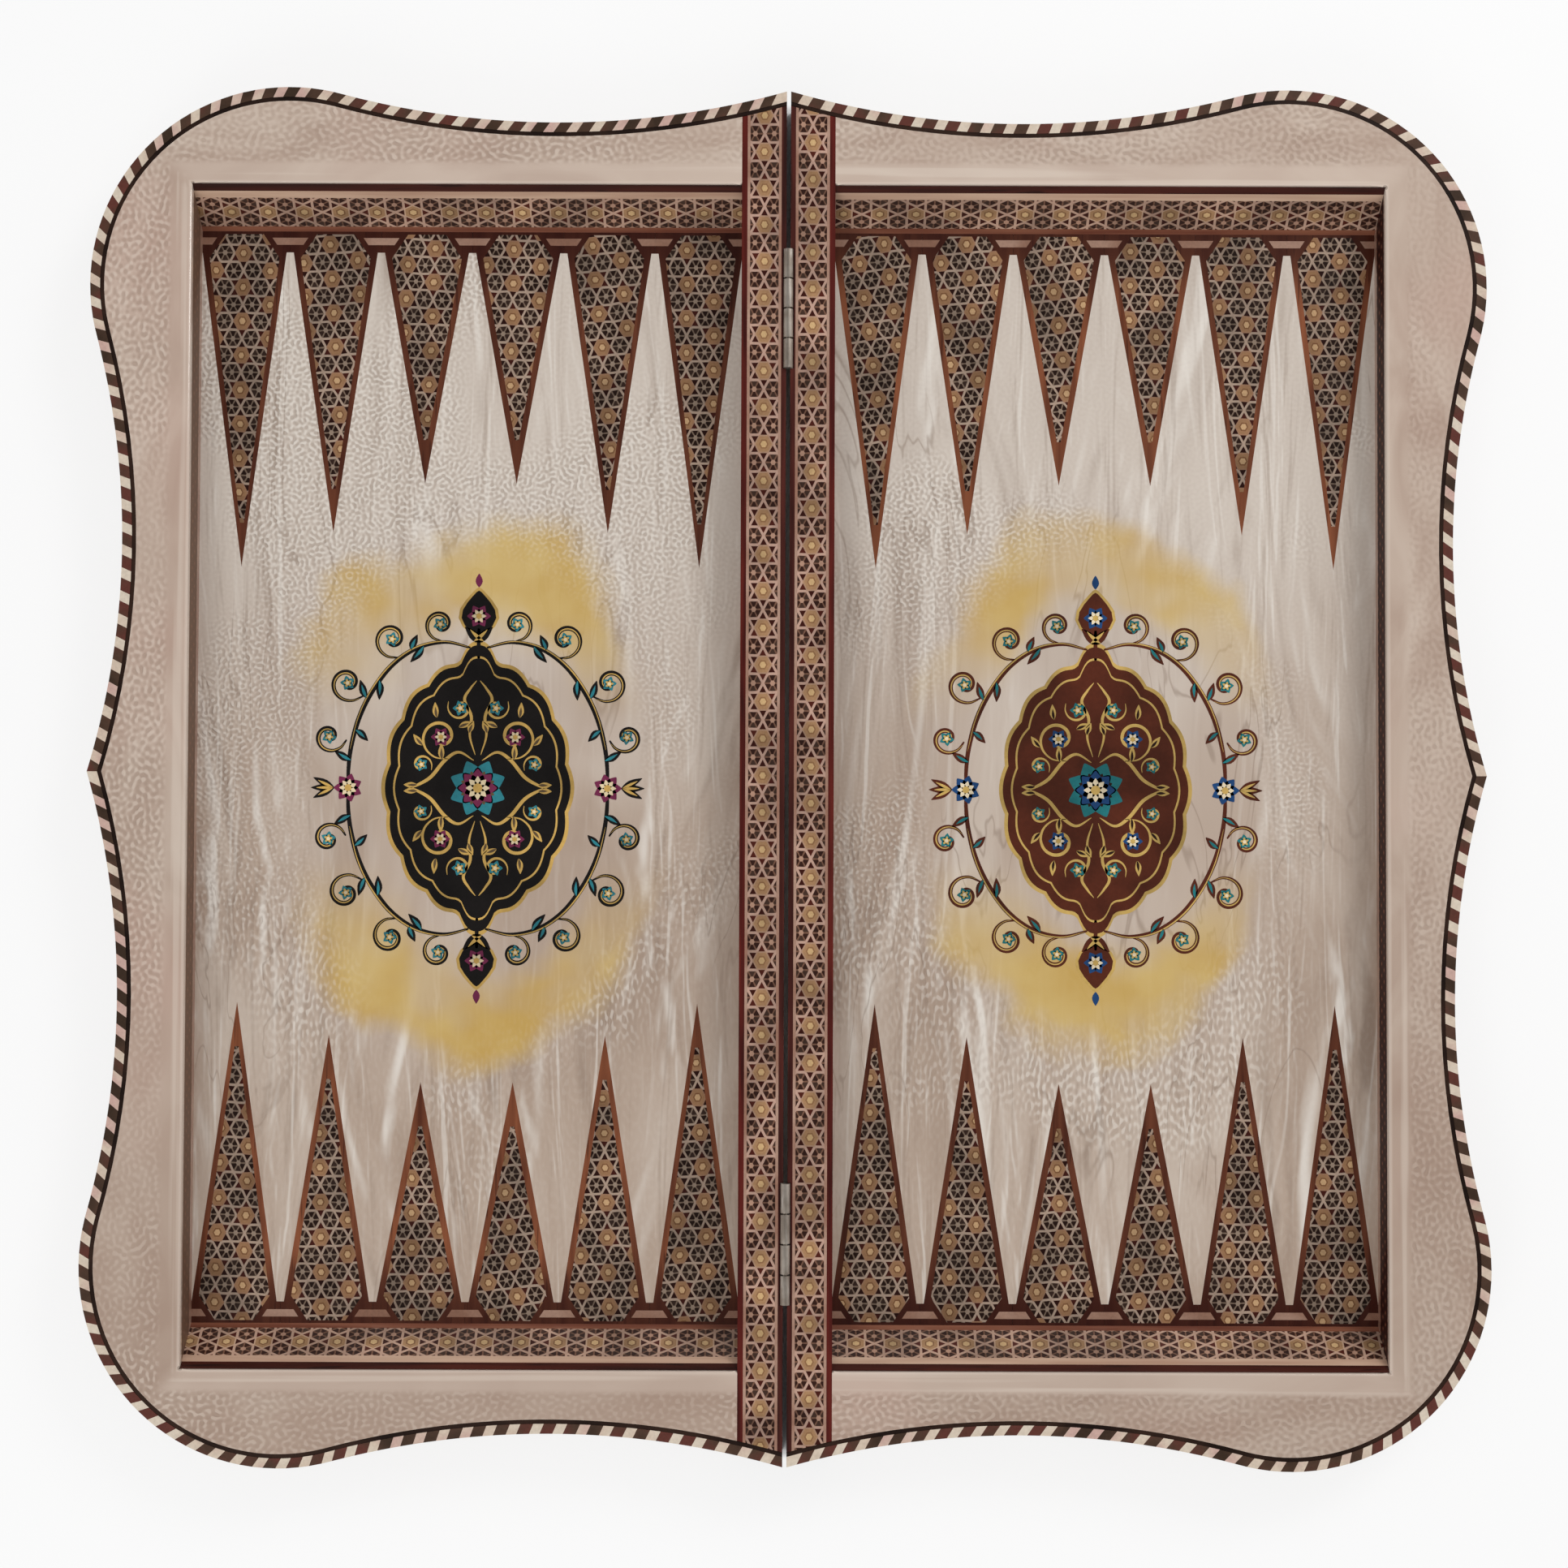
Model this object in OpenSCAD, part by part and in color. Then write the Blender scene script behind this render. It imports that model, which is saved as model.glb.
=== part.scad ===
// Folding chess and backgammon board, lying open with the backgammon trays up.
// The Y axis is the fold line and z = 0 is the surface it lies on, chessboard down.
// The left half is on the -X side and the right half on the +X side. Sizes are in millimetres.

/* [Board] */
// Width of the open board across both halves
board_w = 500; // [417:1:600]
// Length of the board along the fold
board_h = 492; // [410:1:590]
// Radius of the round lobe at each corner
corner_r = 71; // [59:1:85]
// How far the hollow between two lobes lies inside the full size
trough_drop = 12.5; // [6:0.5:15]
// How far the small peak in the middle of each side lies inside the full size
cusp_drop = 0.8; // [0.2:0.1:4]
// Gap between the halves at the fold when the board is open
fold_gap = 1.5; // [1:0.1:2]

/* [Frame and trays] */
// Width of the rail along the fold
hinge_rail_w = 16; // [14:0.5:20]
// Width of the frame from the tray to the widest part of the side
side_frame_w = 36.2; // [32:0.2:45]
// Width of the frame from the tray to the longest part of the end
end_frame_w = 35; // [32:0.2:45]
// Depth of a tray below the rim
tray_depth = 17; // [15:0.5:24]
// How far each end ramp runs into the tray
ramp_run = 13; // [11:0.5:16]
// Thickness of the panel that carries the chessboard
base_t = 6.5; // [5:0.5:9]
// Thickness of the panel that carries the points
field_t = 2.5; // [2:0.1:4]
// How far the base panel reaches under the frame
rebate = 6; // [4:0.5:8]
// Thickness of the inlaid strips and plates
inlay_t = 1; // [0.6:0.1:1.5]

/* [Edge trim] */
// Width of the rope of light and dark blocks along the edge
trim_w = 3.5; // [2.5:0.1:5]
// Depth of the blocks below the rim
trim_t = 2; // [1.2:0.1:3]
// Length of one light and one dark block together
trim_pitch = 8.2; // [7:0.1:12]
// Share of that length that is light
trim_light = 0.45; // [0.35:0.05:0.65]
// How far the joint between two blocks slants along the edge
trim_slant = 2; // [0:0.1:2.4]
// Width of the black line inside the blocks
line_w = 1.3; // [0.8:0.1:2]
// Glue gap on each side of the black line
glue_gap = 0.1; // [0.05:0.05:0.2]

/* [Strips on the fold rail] */
// Width of the dark red string along the fold
fold_string_w = 1.8; // [1.4:0.1:2.5]
// Width of the dark red string along the tray
tray_string_w = 2; // [1:0.1:2.5]
// Width of the pale line on each side of the khatam
pale_line_w = 1; // [0.6:0.1:1.5]

/* [Walls and ramps] */
// Height of the pale line along the foot of a wall
wall_line_h = 3.5; // [2:0.1:4]
// Height of the khatam strip on a wall
wall_khatam_h = 11; // [6:0.1:12]
// Width of the dark strip along the top of a ramp
ramp_edge_w = 3.2; // [1:0.1:4]
// Width of the pale line between the dark strip and the khatam
ramp_line_w = 3; // [1:0.1:4]
// Width of the pale line along the foot of a ramp
ramp_foot_w = 2.3; // [1:0.1:3]

/* [Points] */
// Gap between the borders of two neighbouring points at their heads
point_gap = 2.6; // [2:0.1:5]
// Width of the wood border along the sides of a point
border_w = 2.6; // [1.4:0.1:3]
// Width of the flat end of a point's head
head_flat_w = 13.8; // [10:0.1:15]
// Width of the blunt tip of a khatam plate
tip_w = 1.4; // [1:0.1:3]
// Length of the solid wood between a plate's tip and the tip of the point
tip_wood = 16; // [10:0.5:20]
// Distance from the ramp to the flat end of a head
head_start = 1; // [0.6:0.1:1.5]
// Distance from the ramp to the widest place of a head
head_len = 9.7; // [8:0.1:12]
// Distance from the ramp to the flat end of the field between two points
wedge_start = 7.7; // [6:0.1:9]
// Distance from the ramp to the pale segment between two heads
segment_start = 2.3; // [1.6:0.1:2.6]
// Width of that pale segment
segment_w = 2.6; // [1.5:0.1:3]
// Glue seam between the borders of two neighbouring points
seam = 0.1; // [0.05:0.01:0.2]
// Length of the outer points as a share of half the tray's floor
outer_share = 0.62; // [0.5:0.005:0.7]
// Length of the points next to the outer ones, as such a share
second_share = 0.557; // [0.45:0.001:0.7]
// Length of the two middle points, as such a share
middle_share = 0.466; // [0.4:0.001:0.7]
// Length of the lower row's points as a share of the upper row's
lower_row_share = 0.94; // [0.85:0.01:1.1]

/* [Chessboard] */
// Width of the strip round the chessboard
chess_border_w = 6; // [4:0.5:10]
// Distance from that strip to the edge of the base panel
chess_margin = 19; // [8:1:30]
// How far the veneers of the chessboard lie inside the panel's face
veneer_sink = 0.2; // [0.1:0.05:0.4]

/* [Hinges] */
// Length of a hinge
hinge_l = 43; // [36:1:52]
// Distance from the tray's end to the middle of a hinge
hinge_setback = 44.4; // [34:0.2:80]
// Diameter of the knuckles
knuckle_d = 3.4; // [3.2:0.1:4]
// Diameter of the hinge pin
pin_d = 1.6; // [1.2:0.1:1.8]
// Height of a leaf below the pin's axis
leaf_h = 16; // [13:0.5:16]
// Height of the pin's axis above the rim
axis_rise = 0.2; // [0.1:0.05:0.4]
// Diameter of the screw heads
screw_head_d = 4.2; // [3.4:0.1:5]
// Diameter of the screw shanks
screw_d = 2.2; // [1.6:0.1:2.4]
// Length of a screw
screw_l = 11; // [8:0.5:12]

/* [Hidden] */
$fn = 180;
left = -1;
right = 1;
// Far enough for a cutter to pass a face
past = 1;
// Bite that keeps two touching round faces from lying on each other
bite = 0.01;

// Levels and places shared by many pieces of one half
field_z = base_t + field_t;
rim_z = field_z + tray_depth;
fold_x = fold_gap / 2;
rail_x = fold_x + hinge_rail_w;
tray_x = board_w / 2 - side_frame_w;
tray_y = board_h / 2 - end_frame_w;
tray_w = tray_x - rail_x;
foot_y = tray_y - ramp_run;
ramp_slope = norm([ramp_run, tray_depth]);
line_start = trim_w + glue_gap;
lacquer_start = line_start + line_w + glue_gap;

// Strips across the top of the fold rail, each as its start and its width
khatam_w = hinge_rail_w - fold_string_w - tray_string_w - 2 * pale_line_w;
khatam_x = fold_x + fold_string_w + pale_line_w;

// Points of the backgammon field
point_count = 6;
point_w = (tray_w - (point_count - 1) * point_gap) / point_count;
point_pitch = point_w + point_gap;
point_shares = [outer_share, second_share, middle_share];
plate_w = point_w - 2 * border_w;

// Chess squares, four of the eight columns on each half
panel_x = tray_x + rebate;
panel_y = tray_y + rebate;
chess_rows = 8;
chess_columns = chess_rows / 2;
square = (min(panel_x - fold_x, panel_y) - chess_margin - chess_border_w) / chess_columns;

// Hinges
axis_z = rim_z + axis_rise;
hinge_y = tray_y - hinge_setback;
leaf_t = (knuckle_d - fold_gap) / 2;
knuckle_count = 4;
knuckle_pitch = hinge_l / knuckle_count;
knuckle_play = 0.3;
pin_play = 0.05;
swing_play = 0.3;
mortise_play = 0.1;
screw_count = 3;
screw_pitch = hinge_l / screw_count;
screw_z = axis_z - leaf_h / 2 - knuckle_d / 3;
slot_w = 0.5;
slot_depth = 0.4;

// Outline: the hollow's centre and radius follow from its drop and from the peak between two hollows
function trough_place(half) =
    let (b = half - corner_r, k = trough_drop - cusp_drop, a = trough_drop / k - 1,
         c = b * b - trough_drop * k - 2 * trough_drop * corner_r + trough_drop * trough_drop)
    (sqrt(b * b + a * c) - b) / a;
function trough_r(half) =
    let (k = trough_drop - cusp_drop)
    (pow(trough_place(half), 2) + k * k) / (2 * k);

// One quarter of the edge runs from the side peak over the corner lobe to the fold
lobe = [board_w / 2 - corner_r, board_h / 2 - corner_r];
side_r = trough_r(board_h / 2);
side_trough = [board_w / 2 - trough_drop + side_r, trough_place(board_h / 2)];
end_r = trough_r(board_w / 2);
end_trough = [trough_place(board_w / 2), board_h / 2 - trough_drop + end_r];

function heading(from, to) = atan2(to[1] - from[1], to[0] - from[0]);
function side_start(inset) = 180 + asin(side_trough[1] / (side_r + inset));
function end_stop(inset) = -90 - asin((end_trough[0] - fold_x) / (end_r + inset));
side_stop = heading(side_trough, lobe);
lobe_start = heading(lobe, side_trough);
lobe_stop = heading(lobe, end_trough);
end_start = heading(end_trough, lobe);

function arc_len(r, from, to) = r * abs(to - from) * PI / 180;
side_len = arc_len(side_r, side_start(0), side_stop);
lobe_len = arc_len(corner_r, lobe_start, lobe_stop);
end_len = arc_len(end_r, end_start, end_stop(0));
edge_len = side_len + lobe_len + end_len;
block_pairs = round(edge_len / trim_pitch);
pair_len = edge_len / block_pairs;

function on_arc(centre, r, from, to, share) =
    let (angle = from + (to - from) * share) centre + r * [cos(angle), sin(angle)];
function edge_point(s, inset) =
    s < side_len
    ? on_arc(side_trough, side_r + inset, side_start(inset), side_stop, s / side_len)
    : s < side_len + lobe_len
    ? on_arc(lobe, corner_r - inset, lobe_start, lobe_stop, (s - side_len) / lobe_len)
    : on_arc(end_trough, end_r + inset, end_start, end_stop(inset), (s - side_len - lobe_len) / end_len);

// A joint stays square at a peak and at the fold, and slants everywhere else
function slanted(s, slant) =
    s <= 0 || s >= edge_len ? s : min(max(s + slant, 0), edge_len);

// Points: the axis, the length and a head's half width at a distance from the ramp
function point_x(i) = rail_x + point_w / 2 + i * point_pitch;
function point_len(row, i) =
    point_shares[min(i, point_count - 1 - i)] * foot_y * (row == 0 ? 1 : lower_row_share);
function head_half(u) =
    head_flat_w / 2 + (plate_w - head_flat_w) / 2 * (u - head_start) / (head_len - head_start);

// Helpers that place a shape drawn for the right half

// The left half is the mirror of the right one
module half(side) {
    if (side == right) children();
    else mirror([1, 0, 0]) children();
}

// The blocks of the edge and the chess squares go round the board, so they are turned instead
module turned(side) {
    rotate([0, 0, side == right ? 0 : 180]) children();
}

module both_ends() {
    for (end = [0, 1])
        mirror([0, end, 0]) children();
}

// A bar along Y between two places in X and two levels
module bar(x0, x1, z0, z1, half_l) {
    translate([x0, -half_l, z0]) cube([x1 - x0, 2 * half_l, z1 - z0]);
}

// The outline of the board

module trough_cuts(half_side, reach, inset, height) {
    for (side = [-1, 1], end = [-1, 1])
        translate([side * trough_place(half_side),
                   end * (reach - trough_drop + trough_r(half_side)), -past])
            cylinder(h = height + 2 * past, r = trough_r(half_side) + inset + bite);
}

// The straight-sided middle, which reaches just past the places where lobe and hollow meet
module core(half_side, reach, inset, height) {
    centre = [half_side - corner_r, reach - corner_r];
    trough = [trough_place(half_side), reach - trough_drop + trough_r(half_side)];
    meet = centre + (trough - centre) / norm(trough - centre) * (corner_r - inset + 2 * past);
    linear_extrude(height)
        polygon([[-meet[0], meet[1]], [0, reach - inset], meet,
                 [meet[0], -meet[1]], [0, inset - reach], -meet]);
}

module board_block(height, inset = 0) {
    difference() {
        union() {
            core(board_w / 2, board_h / 2, inset, height);
            rotate(90) core(board_h / 2, board_w / 2, inset, height);
            for (side = [-1, 1], end = [-1, 1])
                translate([side * lobe[0], end * lobe[1], 0])
                    cylinder(h = height, r = corner_r - inset);
        }
        trough_cuts(board_w / 2, board_h / 2, inset, height);
        rotate(90) trough_cuts(board_h / 2, board_w / 2, inset, height);
    }
}

// The frame

// The whole frame's stock, with the rebate that takes the edge blocks and the black line
module frame_stock() {
    board_block(rim_z - trim_t);
    board_block(rim_z, lacquer_start);
}

module panel_space() {
    bar(fold_x - past, panel_x, -past, base_t, panel_y);
}

// Rooms in a wall for its pale line and its khatam strip
module wall_grooves(x) {
    bar(x, x + inlay_t, field_z, field_z + wall_line_h + wall_khatam_h, tray_y);
}

module outer_rail(side) {
    reach = side_frame_w + past;
    color([0.80, 0.74, 0.68]) half(side) difference() {
        intersection() {
            frame_stock();
            linear_extrude(rim_z)
                polygon([[tray_x, tray_y], [tray_x, -tray_y], [tray_x + reach, -tray_y - reach],
                         [tray_x + reach, tray_y + reach]]);
        }
        panel_space();
        wall_grooves(tray_x);
    }
}

module end_rail(side, end) {
    reach = end_frame_w + past;
    color([0.80, 0.74, 0.68]) half(side) mirror([0, end, 0]) difference() {
        intersection() {
            frame_stock();
            linear_extrude(rim_z)
                polygon([[rail_x, tray_y], [tray_x, tray_y], [tray_x + reach, tray_y + reach],
                         [rail_x, tray_y + reach]]);
        }
        panel_space();
    }
}

module hinge_rail(side) {
    color([0.35, 0.20, 0.14]) half(side) difference() {
        intersection() {
            frame_stock();
            bar(fold_x, rail_x, 0, rim_z - inlay_t, board_h / 2);
        }
        panel_space();
        wall_grooves(rail_x - inlay_t);
        hinge_room();
        both_ends() screw_places() screw_bore();
    }
}

// Everything that a hinge needs cut out of the rail and its strips
module hinge_room() {
    both_ends() translate([0, hinge_y, 0]) {
        bar(fold_x - past, knuckle_d / 2, axis_z - leaf_h - mortise_play, rim_z + past,
            hinge_l / 2 + mortise_play);
        translate([0, hinge_l / 2 + mortise_play, axis_z]) rotate([90, 0, 0])
            cylinder(h = hinge_l + 2 * mortise_play, d = knuckle_d + 2 * swing_play);
    }
}

module base_panel(side) {
    color([0.55, 0.38, 0.25]) half(side) difference() {
        bar(fold_x, panel_x, 0, base_t, panel_y);
        bar(fold_x - past, fold_x + chess_columns * square + chess_border_w, -past, inlay_t,
            chess_columns * square + chess_border_w);
    }
}

// The strips on the fold rail

module rail_strip(x0, width) {
    intersection() {
        board_block(rim_z, lacquer_start);
        bar(x0, x0 + width, rim_z - inlay_t, rim_z, board_h / 2);
    }
}

module rail_strings(side) {
    color([0.33, 0.10, 0.08]) half(side) difference() {
        union() {
            rail_strip(fold_x, fold_string_w);
            rail_strip(rail_x - tray_string_w, tray_string_w);
        }
        hinge_room();
    }
}

module rail_lines(side) {
    color([0.80, 0.66, 0.58]) half(side)
        for (x = [khatam_x - pale_line_w, khatam_x + khatam_w])
            rail_strip(x, pale_line_w);
}

module rail_khatam(side) {
    color([0.62, 0.48, 0.34]) half(side) rail_strip(khatam_x, khatam_w);
}

// The trays

module wall_strip(z0, z1) {
    for (x = [rail_x - inlay_t, tray_x])
        bar(x, x + inlay_t, z0, z1, tray_y);
}

module wall_lines(side) {
    color([0.80, 0.66, 0.58]) half(side) wall_strip(field_z, field_z + wall_line_h);
}

module wall_khatam(side) {
    top = field_z + wall_line_h + wall_khatam_h;
    color([0.62, 0.48, 0.34]) half(side) wall_strip(field_z + wall_line_h, top);
}

// A wedge along the ramp, sunk under the slope by a depth
module ramp_wedge(depth = 0) {
    translate([rail_x, tray_y, 0]) rotate([90, 0, 90]) linear_extrude(tray_w)
        polygon([[-ramp_run + depth * ramp_slope / tray_depth, field_z], [0, field_z],
                 [0, rim_z - depth * ramp_slope / ramp_run]]);
}

// A strip on the slope, measured from the slope's top edge
module ramp_strip(start, width) {
    difference() {
        intersection() {
            ramp_wedge();
            translate([rail_x, tray_y, rim_z]) rotate([atan2(tray_depth, ramp_run), 0, 0])
                translate([-past, -start - width, -rim_z]) cube([tray_w + 2 * past, width, 2 * rim_z]);
        }
        ramp_wedge(inlay_t);
    }
}

module end_ramps(side) {
    color([0.42, 0.28, 0.20]) half(side) both_ends() ramp_wedge(inlay_t);
}

module ramp_edges(side) {
    color([0.14, 0.08, 0.06]) half(side) both_ends() ramp_strip(0, ramp_edge_w);
}

module ramp_lines(side) {
    color([0.80, 0.66, 0.58]) half(side) both_ends() {
        ramp_strip(ramp_edge_w, ramp_line_w);
        ramp_strip(ramp_slope - ramp_foot_w, ramp_foot_w);
    }
}

module ramp_khatam(side) {
    start = ramp_edge_w + ramp_line_w;
    color([0.62, 0.48, 0.34]) half(side) both_ends()
        ramp_strip(start, ramp_slope - ramp_foot_w - start);
}

// The points. Each is drawn with its foot at the origin and its tip along +Y.

module place_point(row, i) {
    mirror([0, row, 0]) translate([point_x(i), foot_y, field_z - inlay_t]) mirror([0, 1, 0])
        children();
}

module point_plate(length) {
    tip = length - tip_wood;
    linear_extrude(inlay_t)
        polygon([[-head_flat_w / 2, head_start], [head_flat_w / 2, head_start],
                 [plate_w / 2, head_len], [tip_w / 2, tip], [-tip_w / 2, tip],
                 [-plate_w / 2, head_len]]);
}

// The border's outline, which leaves the flat end of the field's wedge on each side of the head
module point_outline(length, height, foot_w) {
    linear_extrude(height)
        polygon([[-foot_w / 2, 0], [foot_w / 2, 0], [foot_w / 2, wedge_start],
                 [point_w / 2, wedge_start], [0, length], [-point_w / 2, wedge_start],
                 [-foot_w / 2, wedge_start]]);
}

// The pale segment in the middle between two heads
module head_segment() {
    margin = border_w * 0.9;
    stop = segment_start + segment_w;
    wide = point_pitch / 2 - head_half(segment_start) - margin;
    narrow = point_pitch / 2 - head_half(stop) - margin;
    linear_extrude(inlay_t)
        polygon([[-wide, segment_start], [wide, segment_start], [narrow, stop], [-narrow, stop]]);
}

module field_space() {
    bar(rail_x, tray_x, field_z - inlay_t, field_z, foot_y);
}

module point_plates(side) {
    color([0.62, 0.48, 0.34]) half(side)
        for (row = [0, 1], i = [0 : point_count - 1])
            place_point(row, i) point_plate(point_len(row, i));
}

module point_borders(side) {
    color([0.36, 0.19, 0.12]) half(side)
        for (row = [0, 1], i = [0 : point_count - 1])
            intersection() {
                field_space();
                place_point(row, i) difference() {
                    point_outline(point_len(row, i), inlay_t, point_pitch - seam);
                    translate([0, 0, -past]) scale([1, 1, 1 + 2 * past / inlay_t])
                        point_plate(point_len(row, i));
                    for (next = [-1, 1])
                        translate([next * point_pitch / 2, 0, 0]) head_segment();
                }
            }
}

module head_segments(side) {
    color([0.66, 0.54, 0.48]) half(side)
        for (row = [0, 1], i = [0 : point_count])
            intersection() {
                field_space();
                place_point(row, i) translate([-point_pitch / 2, 0, 0]) head_segment();
            }
}

module field_panel(side) {
    color([0.84, 0.80, 0.75]) half(side) difference() {
        bar(rail_x, tray_x, base_t, field_z, tray_y);
        for (row = [0, 1], i = [0 : point_count - 1])
            place_point(row, i) point_outline(point_len(row, i), inlay_t + past, point_pitch);
    }
}

// The edge

// The right half's blocks between two shares of each pair. They run anticlockwise, so away from
// the side peak in the upper quarter and towards it in the lower one.
module trim_blocks(from, to) {
    for (quarter = [0, 1], k = [0 : block_pairs - 1]) {
        slant = quarter == 0 ? trim_slant : -trim_slant;
        start = (k + (quarter == 0 ? from : 1 - to)) * pair_len;
        stop = (k + (quarter == 0 ? to : 1 - from)) * pair_len;
        mirror([0, quarter, 0]) translate([0, 0, rim_z - trim_t]) linear_extrude(trim_t)
            polygon([edge_point(start, 0), edge_point(stop, 0),
                     edge_point(slanted(stop, slant), trim_w),
                     edge_point(slanted(start, slant), trim_w)]);
    }
}

module trim_light_blocks(side) {
    color([0.86, 0.80, 0.70]) turned(side) trim_blocks(0, trim_light);
}

module trim_dark_blocks(side) {
    color([0.30, 0.19, 0.14]) turned(side) trim_blocks(trim_light, 1);
}

module trim_line(side) {
    color([0.10, 0.06, 0.05]) half(side) intersection() {
        difference() {
            board_block(rim_z, line_start);
            translate([0, 0, -past]) board_block(rim_z + 2 * past, line_start + line_w);
        }
        bar(fold_x, board_w / 2, rim_z - trim_t, rim_z, board_h / 2);
    }
}

// The chessboard on the underside

module chess_squares(side, parity) {
    turned(side)
        for (row = [0 : chess_rows - 1], column = [0 : chess_columns - 1])
            if ((row + column) % 2 == parity)
                translate([fold_x + column * square, (row - chess_columns) * square, veneer_sink])
                    cube([square, square, inlay_t - veneer_sink]);
}

module dark_squares(side) {
    color([0.27, 0.15, 0.10]) chess_squares(side, 0);
}

module light_squares(side) {
    color([0.80, 0.68, 0.50]) chess_squares(side, 1);
}

module chess_border(side) {
    span = chess_columns * square;
    color([0.45, 0.16, 0.10]) half(side) difference() {
        bar(fold_x, fold_x + span + chess_border_w, veneer_sink, inlay_t, span + chess_border_w);
        bar(fold_x - past, fold_x + span, 0, inlay_t + past, span);
    }
}

// The hinges

module knuckle(slot, play) {
    translate([0, (slot - knuckle_count / 2) * knuckle_pitch - play, axis_z]) rotate([-90, 0, 0])
        cylinder(h = knuckle_pitch + 2 * play, d = knuckle_d + max(0, 2 * play));
}

module hinge_leaf(side, end) {
    own = side == right ? [0, 2] : [1, 3];
    other = side == right ? [1, 3] : [0, 2];
    bore_d = pin_d + (side == right ? 2 * pin_play : 0);
    color([0.62, 0.60, 0.56]) translate([0, end * hinge_y, 0]) half(side) difference() {
        union() {
            bar(fold_x, knuckle_d / 2, axis_z - leaf_h, axis_z, hinge_l / 2);
            for (slot = own)
                knuckle(slot, -knuckle_play / 2);
        }
        for (slot = other)
            knuckle(slot, swing_play);
        translate([0, -hinge_l / 2 - past, axis_z]) rotate([-90, 0, 0])
            cylinder(h = hinge_l + 2 * past, d = bore_d);
        translate([0, -hinge_y, 0]) screw_places() screw_body(0);
    }
}

module hinge_pin(end) {
    color([0.55, 0.53, 0.50]) translate([0, end * hinge_y + (hinge_l - knuckle_play) / 2, axis_z])
        rotate([90, 0, 0]) cylinder(h = hinge_l - knuckle_play, d = pin_d);
}

// Screws are drawn along +Z with the head's face at the origin
module screw_places() {
    for (k = [0 : screw_count - 1])
        translate([fold_x, hinge_y + (k - (screw_count - 1) / 2) * screw_pitch, screw_z])
            rotate([0, 90, 0]) children();
}

module screw_body(slot) {
    difference() {
        union() {
            cylinder(h = leaf_t, d1 = screw_head_d, d2 = screw_d);
            cylinder(h = screw_l, d = screw_d);
        }
        translate([-slot_w / 2, -screw_head_d, -past]) cube([slot_w, 2 * screw_head_d, past + slot]);
    }
}

module screw_bore() {
    cylinder(h = screw_l, d = screw_d);
}

module hinge_screws(side) {
    color([0.70, 0.68, 0.64]) half(side) both_ends() screw_places() screw_body(slot_depth);
}

base_panel(left);  // left_base_panel
field_panel(left);  // left_field_panel
outer_rail(left);  // left_outer_rail
end_rail(left, 0);  // left_top_rail
end_rail(left, 1);  // left_bottom_rail
hinge_rail(left);  // left_hinge_rail
end_ramps(left);  // left_end_ramps
ramp_khatam(left);  // left_ramp_khatam
ramp_lines(left);  // left_ramp_lines
ramp_edges(left);  // left_ramp_edges
wall_khatam(left);  // left_wall_khatam
wall_lines(left);  // left_wall_lines
point_plates(left);  // left_point_plates
point_borders(left);  // left_point_borders
head_segments(left);  // left_head_segments
trim_light_blocks(left);  // left_trim_light
trim_dark_blocks(left);  // left_trim_dark
trim_line(left);  // left_trim_line
rail_khatam(left);  // left_rail_khatam
rail_lines(left);  // left_rail_lines
rail_strings(left);  // left_rail_strings
dark_squares(left);  // left_dark_squares
light_squares(left);  // left_light_squares
chess_border(left);  // left_chess_border
base_panel(right);  // right_base_panel
field_panel(right);  // right_field_panel
outer_rail(right);  // right_outer_rail
end_rail(right, 0);  // right_top_rail
end_rail(right, 1);  // right_bottom_rail
hinge_rail(right);  // right_hinge_rail
end_ramps(right);  // right_end_ramps
ramp_khatam(right);  // right_ramp_khatam
ramp_lines(right);  // right_ramp_lines
ramp_edges(right);  // right_ramp_edges
wall_khatam(right);  // right_wall_khatam
wall_lines(right);  // right_wall_lines
point_plates(right);  // right_point_plates
point_borders(right);  // right_point_borders
head_segments(right);  // right_head_segments
trim_light_blocks(right);  // right_trim_light
trim_dark_blocks(right);  // right_trim_dark
trim_line(right);  // right_trim_line
rail_khatam(right);  // right_rail_khatam
rail_lines(right);  // right_rail_lines
rail_strings(right);  // right_rail_strings
dark_squares(right);  // right_dark_squares
light_squares(right);  // right_light_squares
chess_border(right);  // right_chess_border
hinge_leaf(left, 1);  // upper_left_leaf
hinge_leaf(left, -1);  // lower_left_leaf
hinge_leaf(right, 1);  // upper_right_leaf
hinge_leaf(right, -1);  // lower_right_leaf
hinge_pin(1);  // upper_pin
hinge_pin(-1);  // lower_pin
hinge_screws(left);  // left_hinge_screws
hinge_screws(right);  // right_hinge_screws
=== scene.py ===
"""Looks of the folding chess and backgammon board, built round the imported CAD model.

The board lies open with its trays up. The Y axis is the fold line and z = 0 is the surface under it.
Drawing sizes are in millimetres and MM turns them into metres. Colours are given as they look on
screen, as red, green and blue from 0 to 255.
"""

import math
import random

import bmesh
import bpy
from mathutils import Matrix, Vector, geometry, noise


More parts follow.
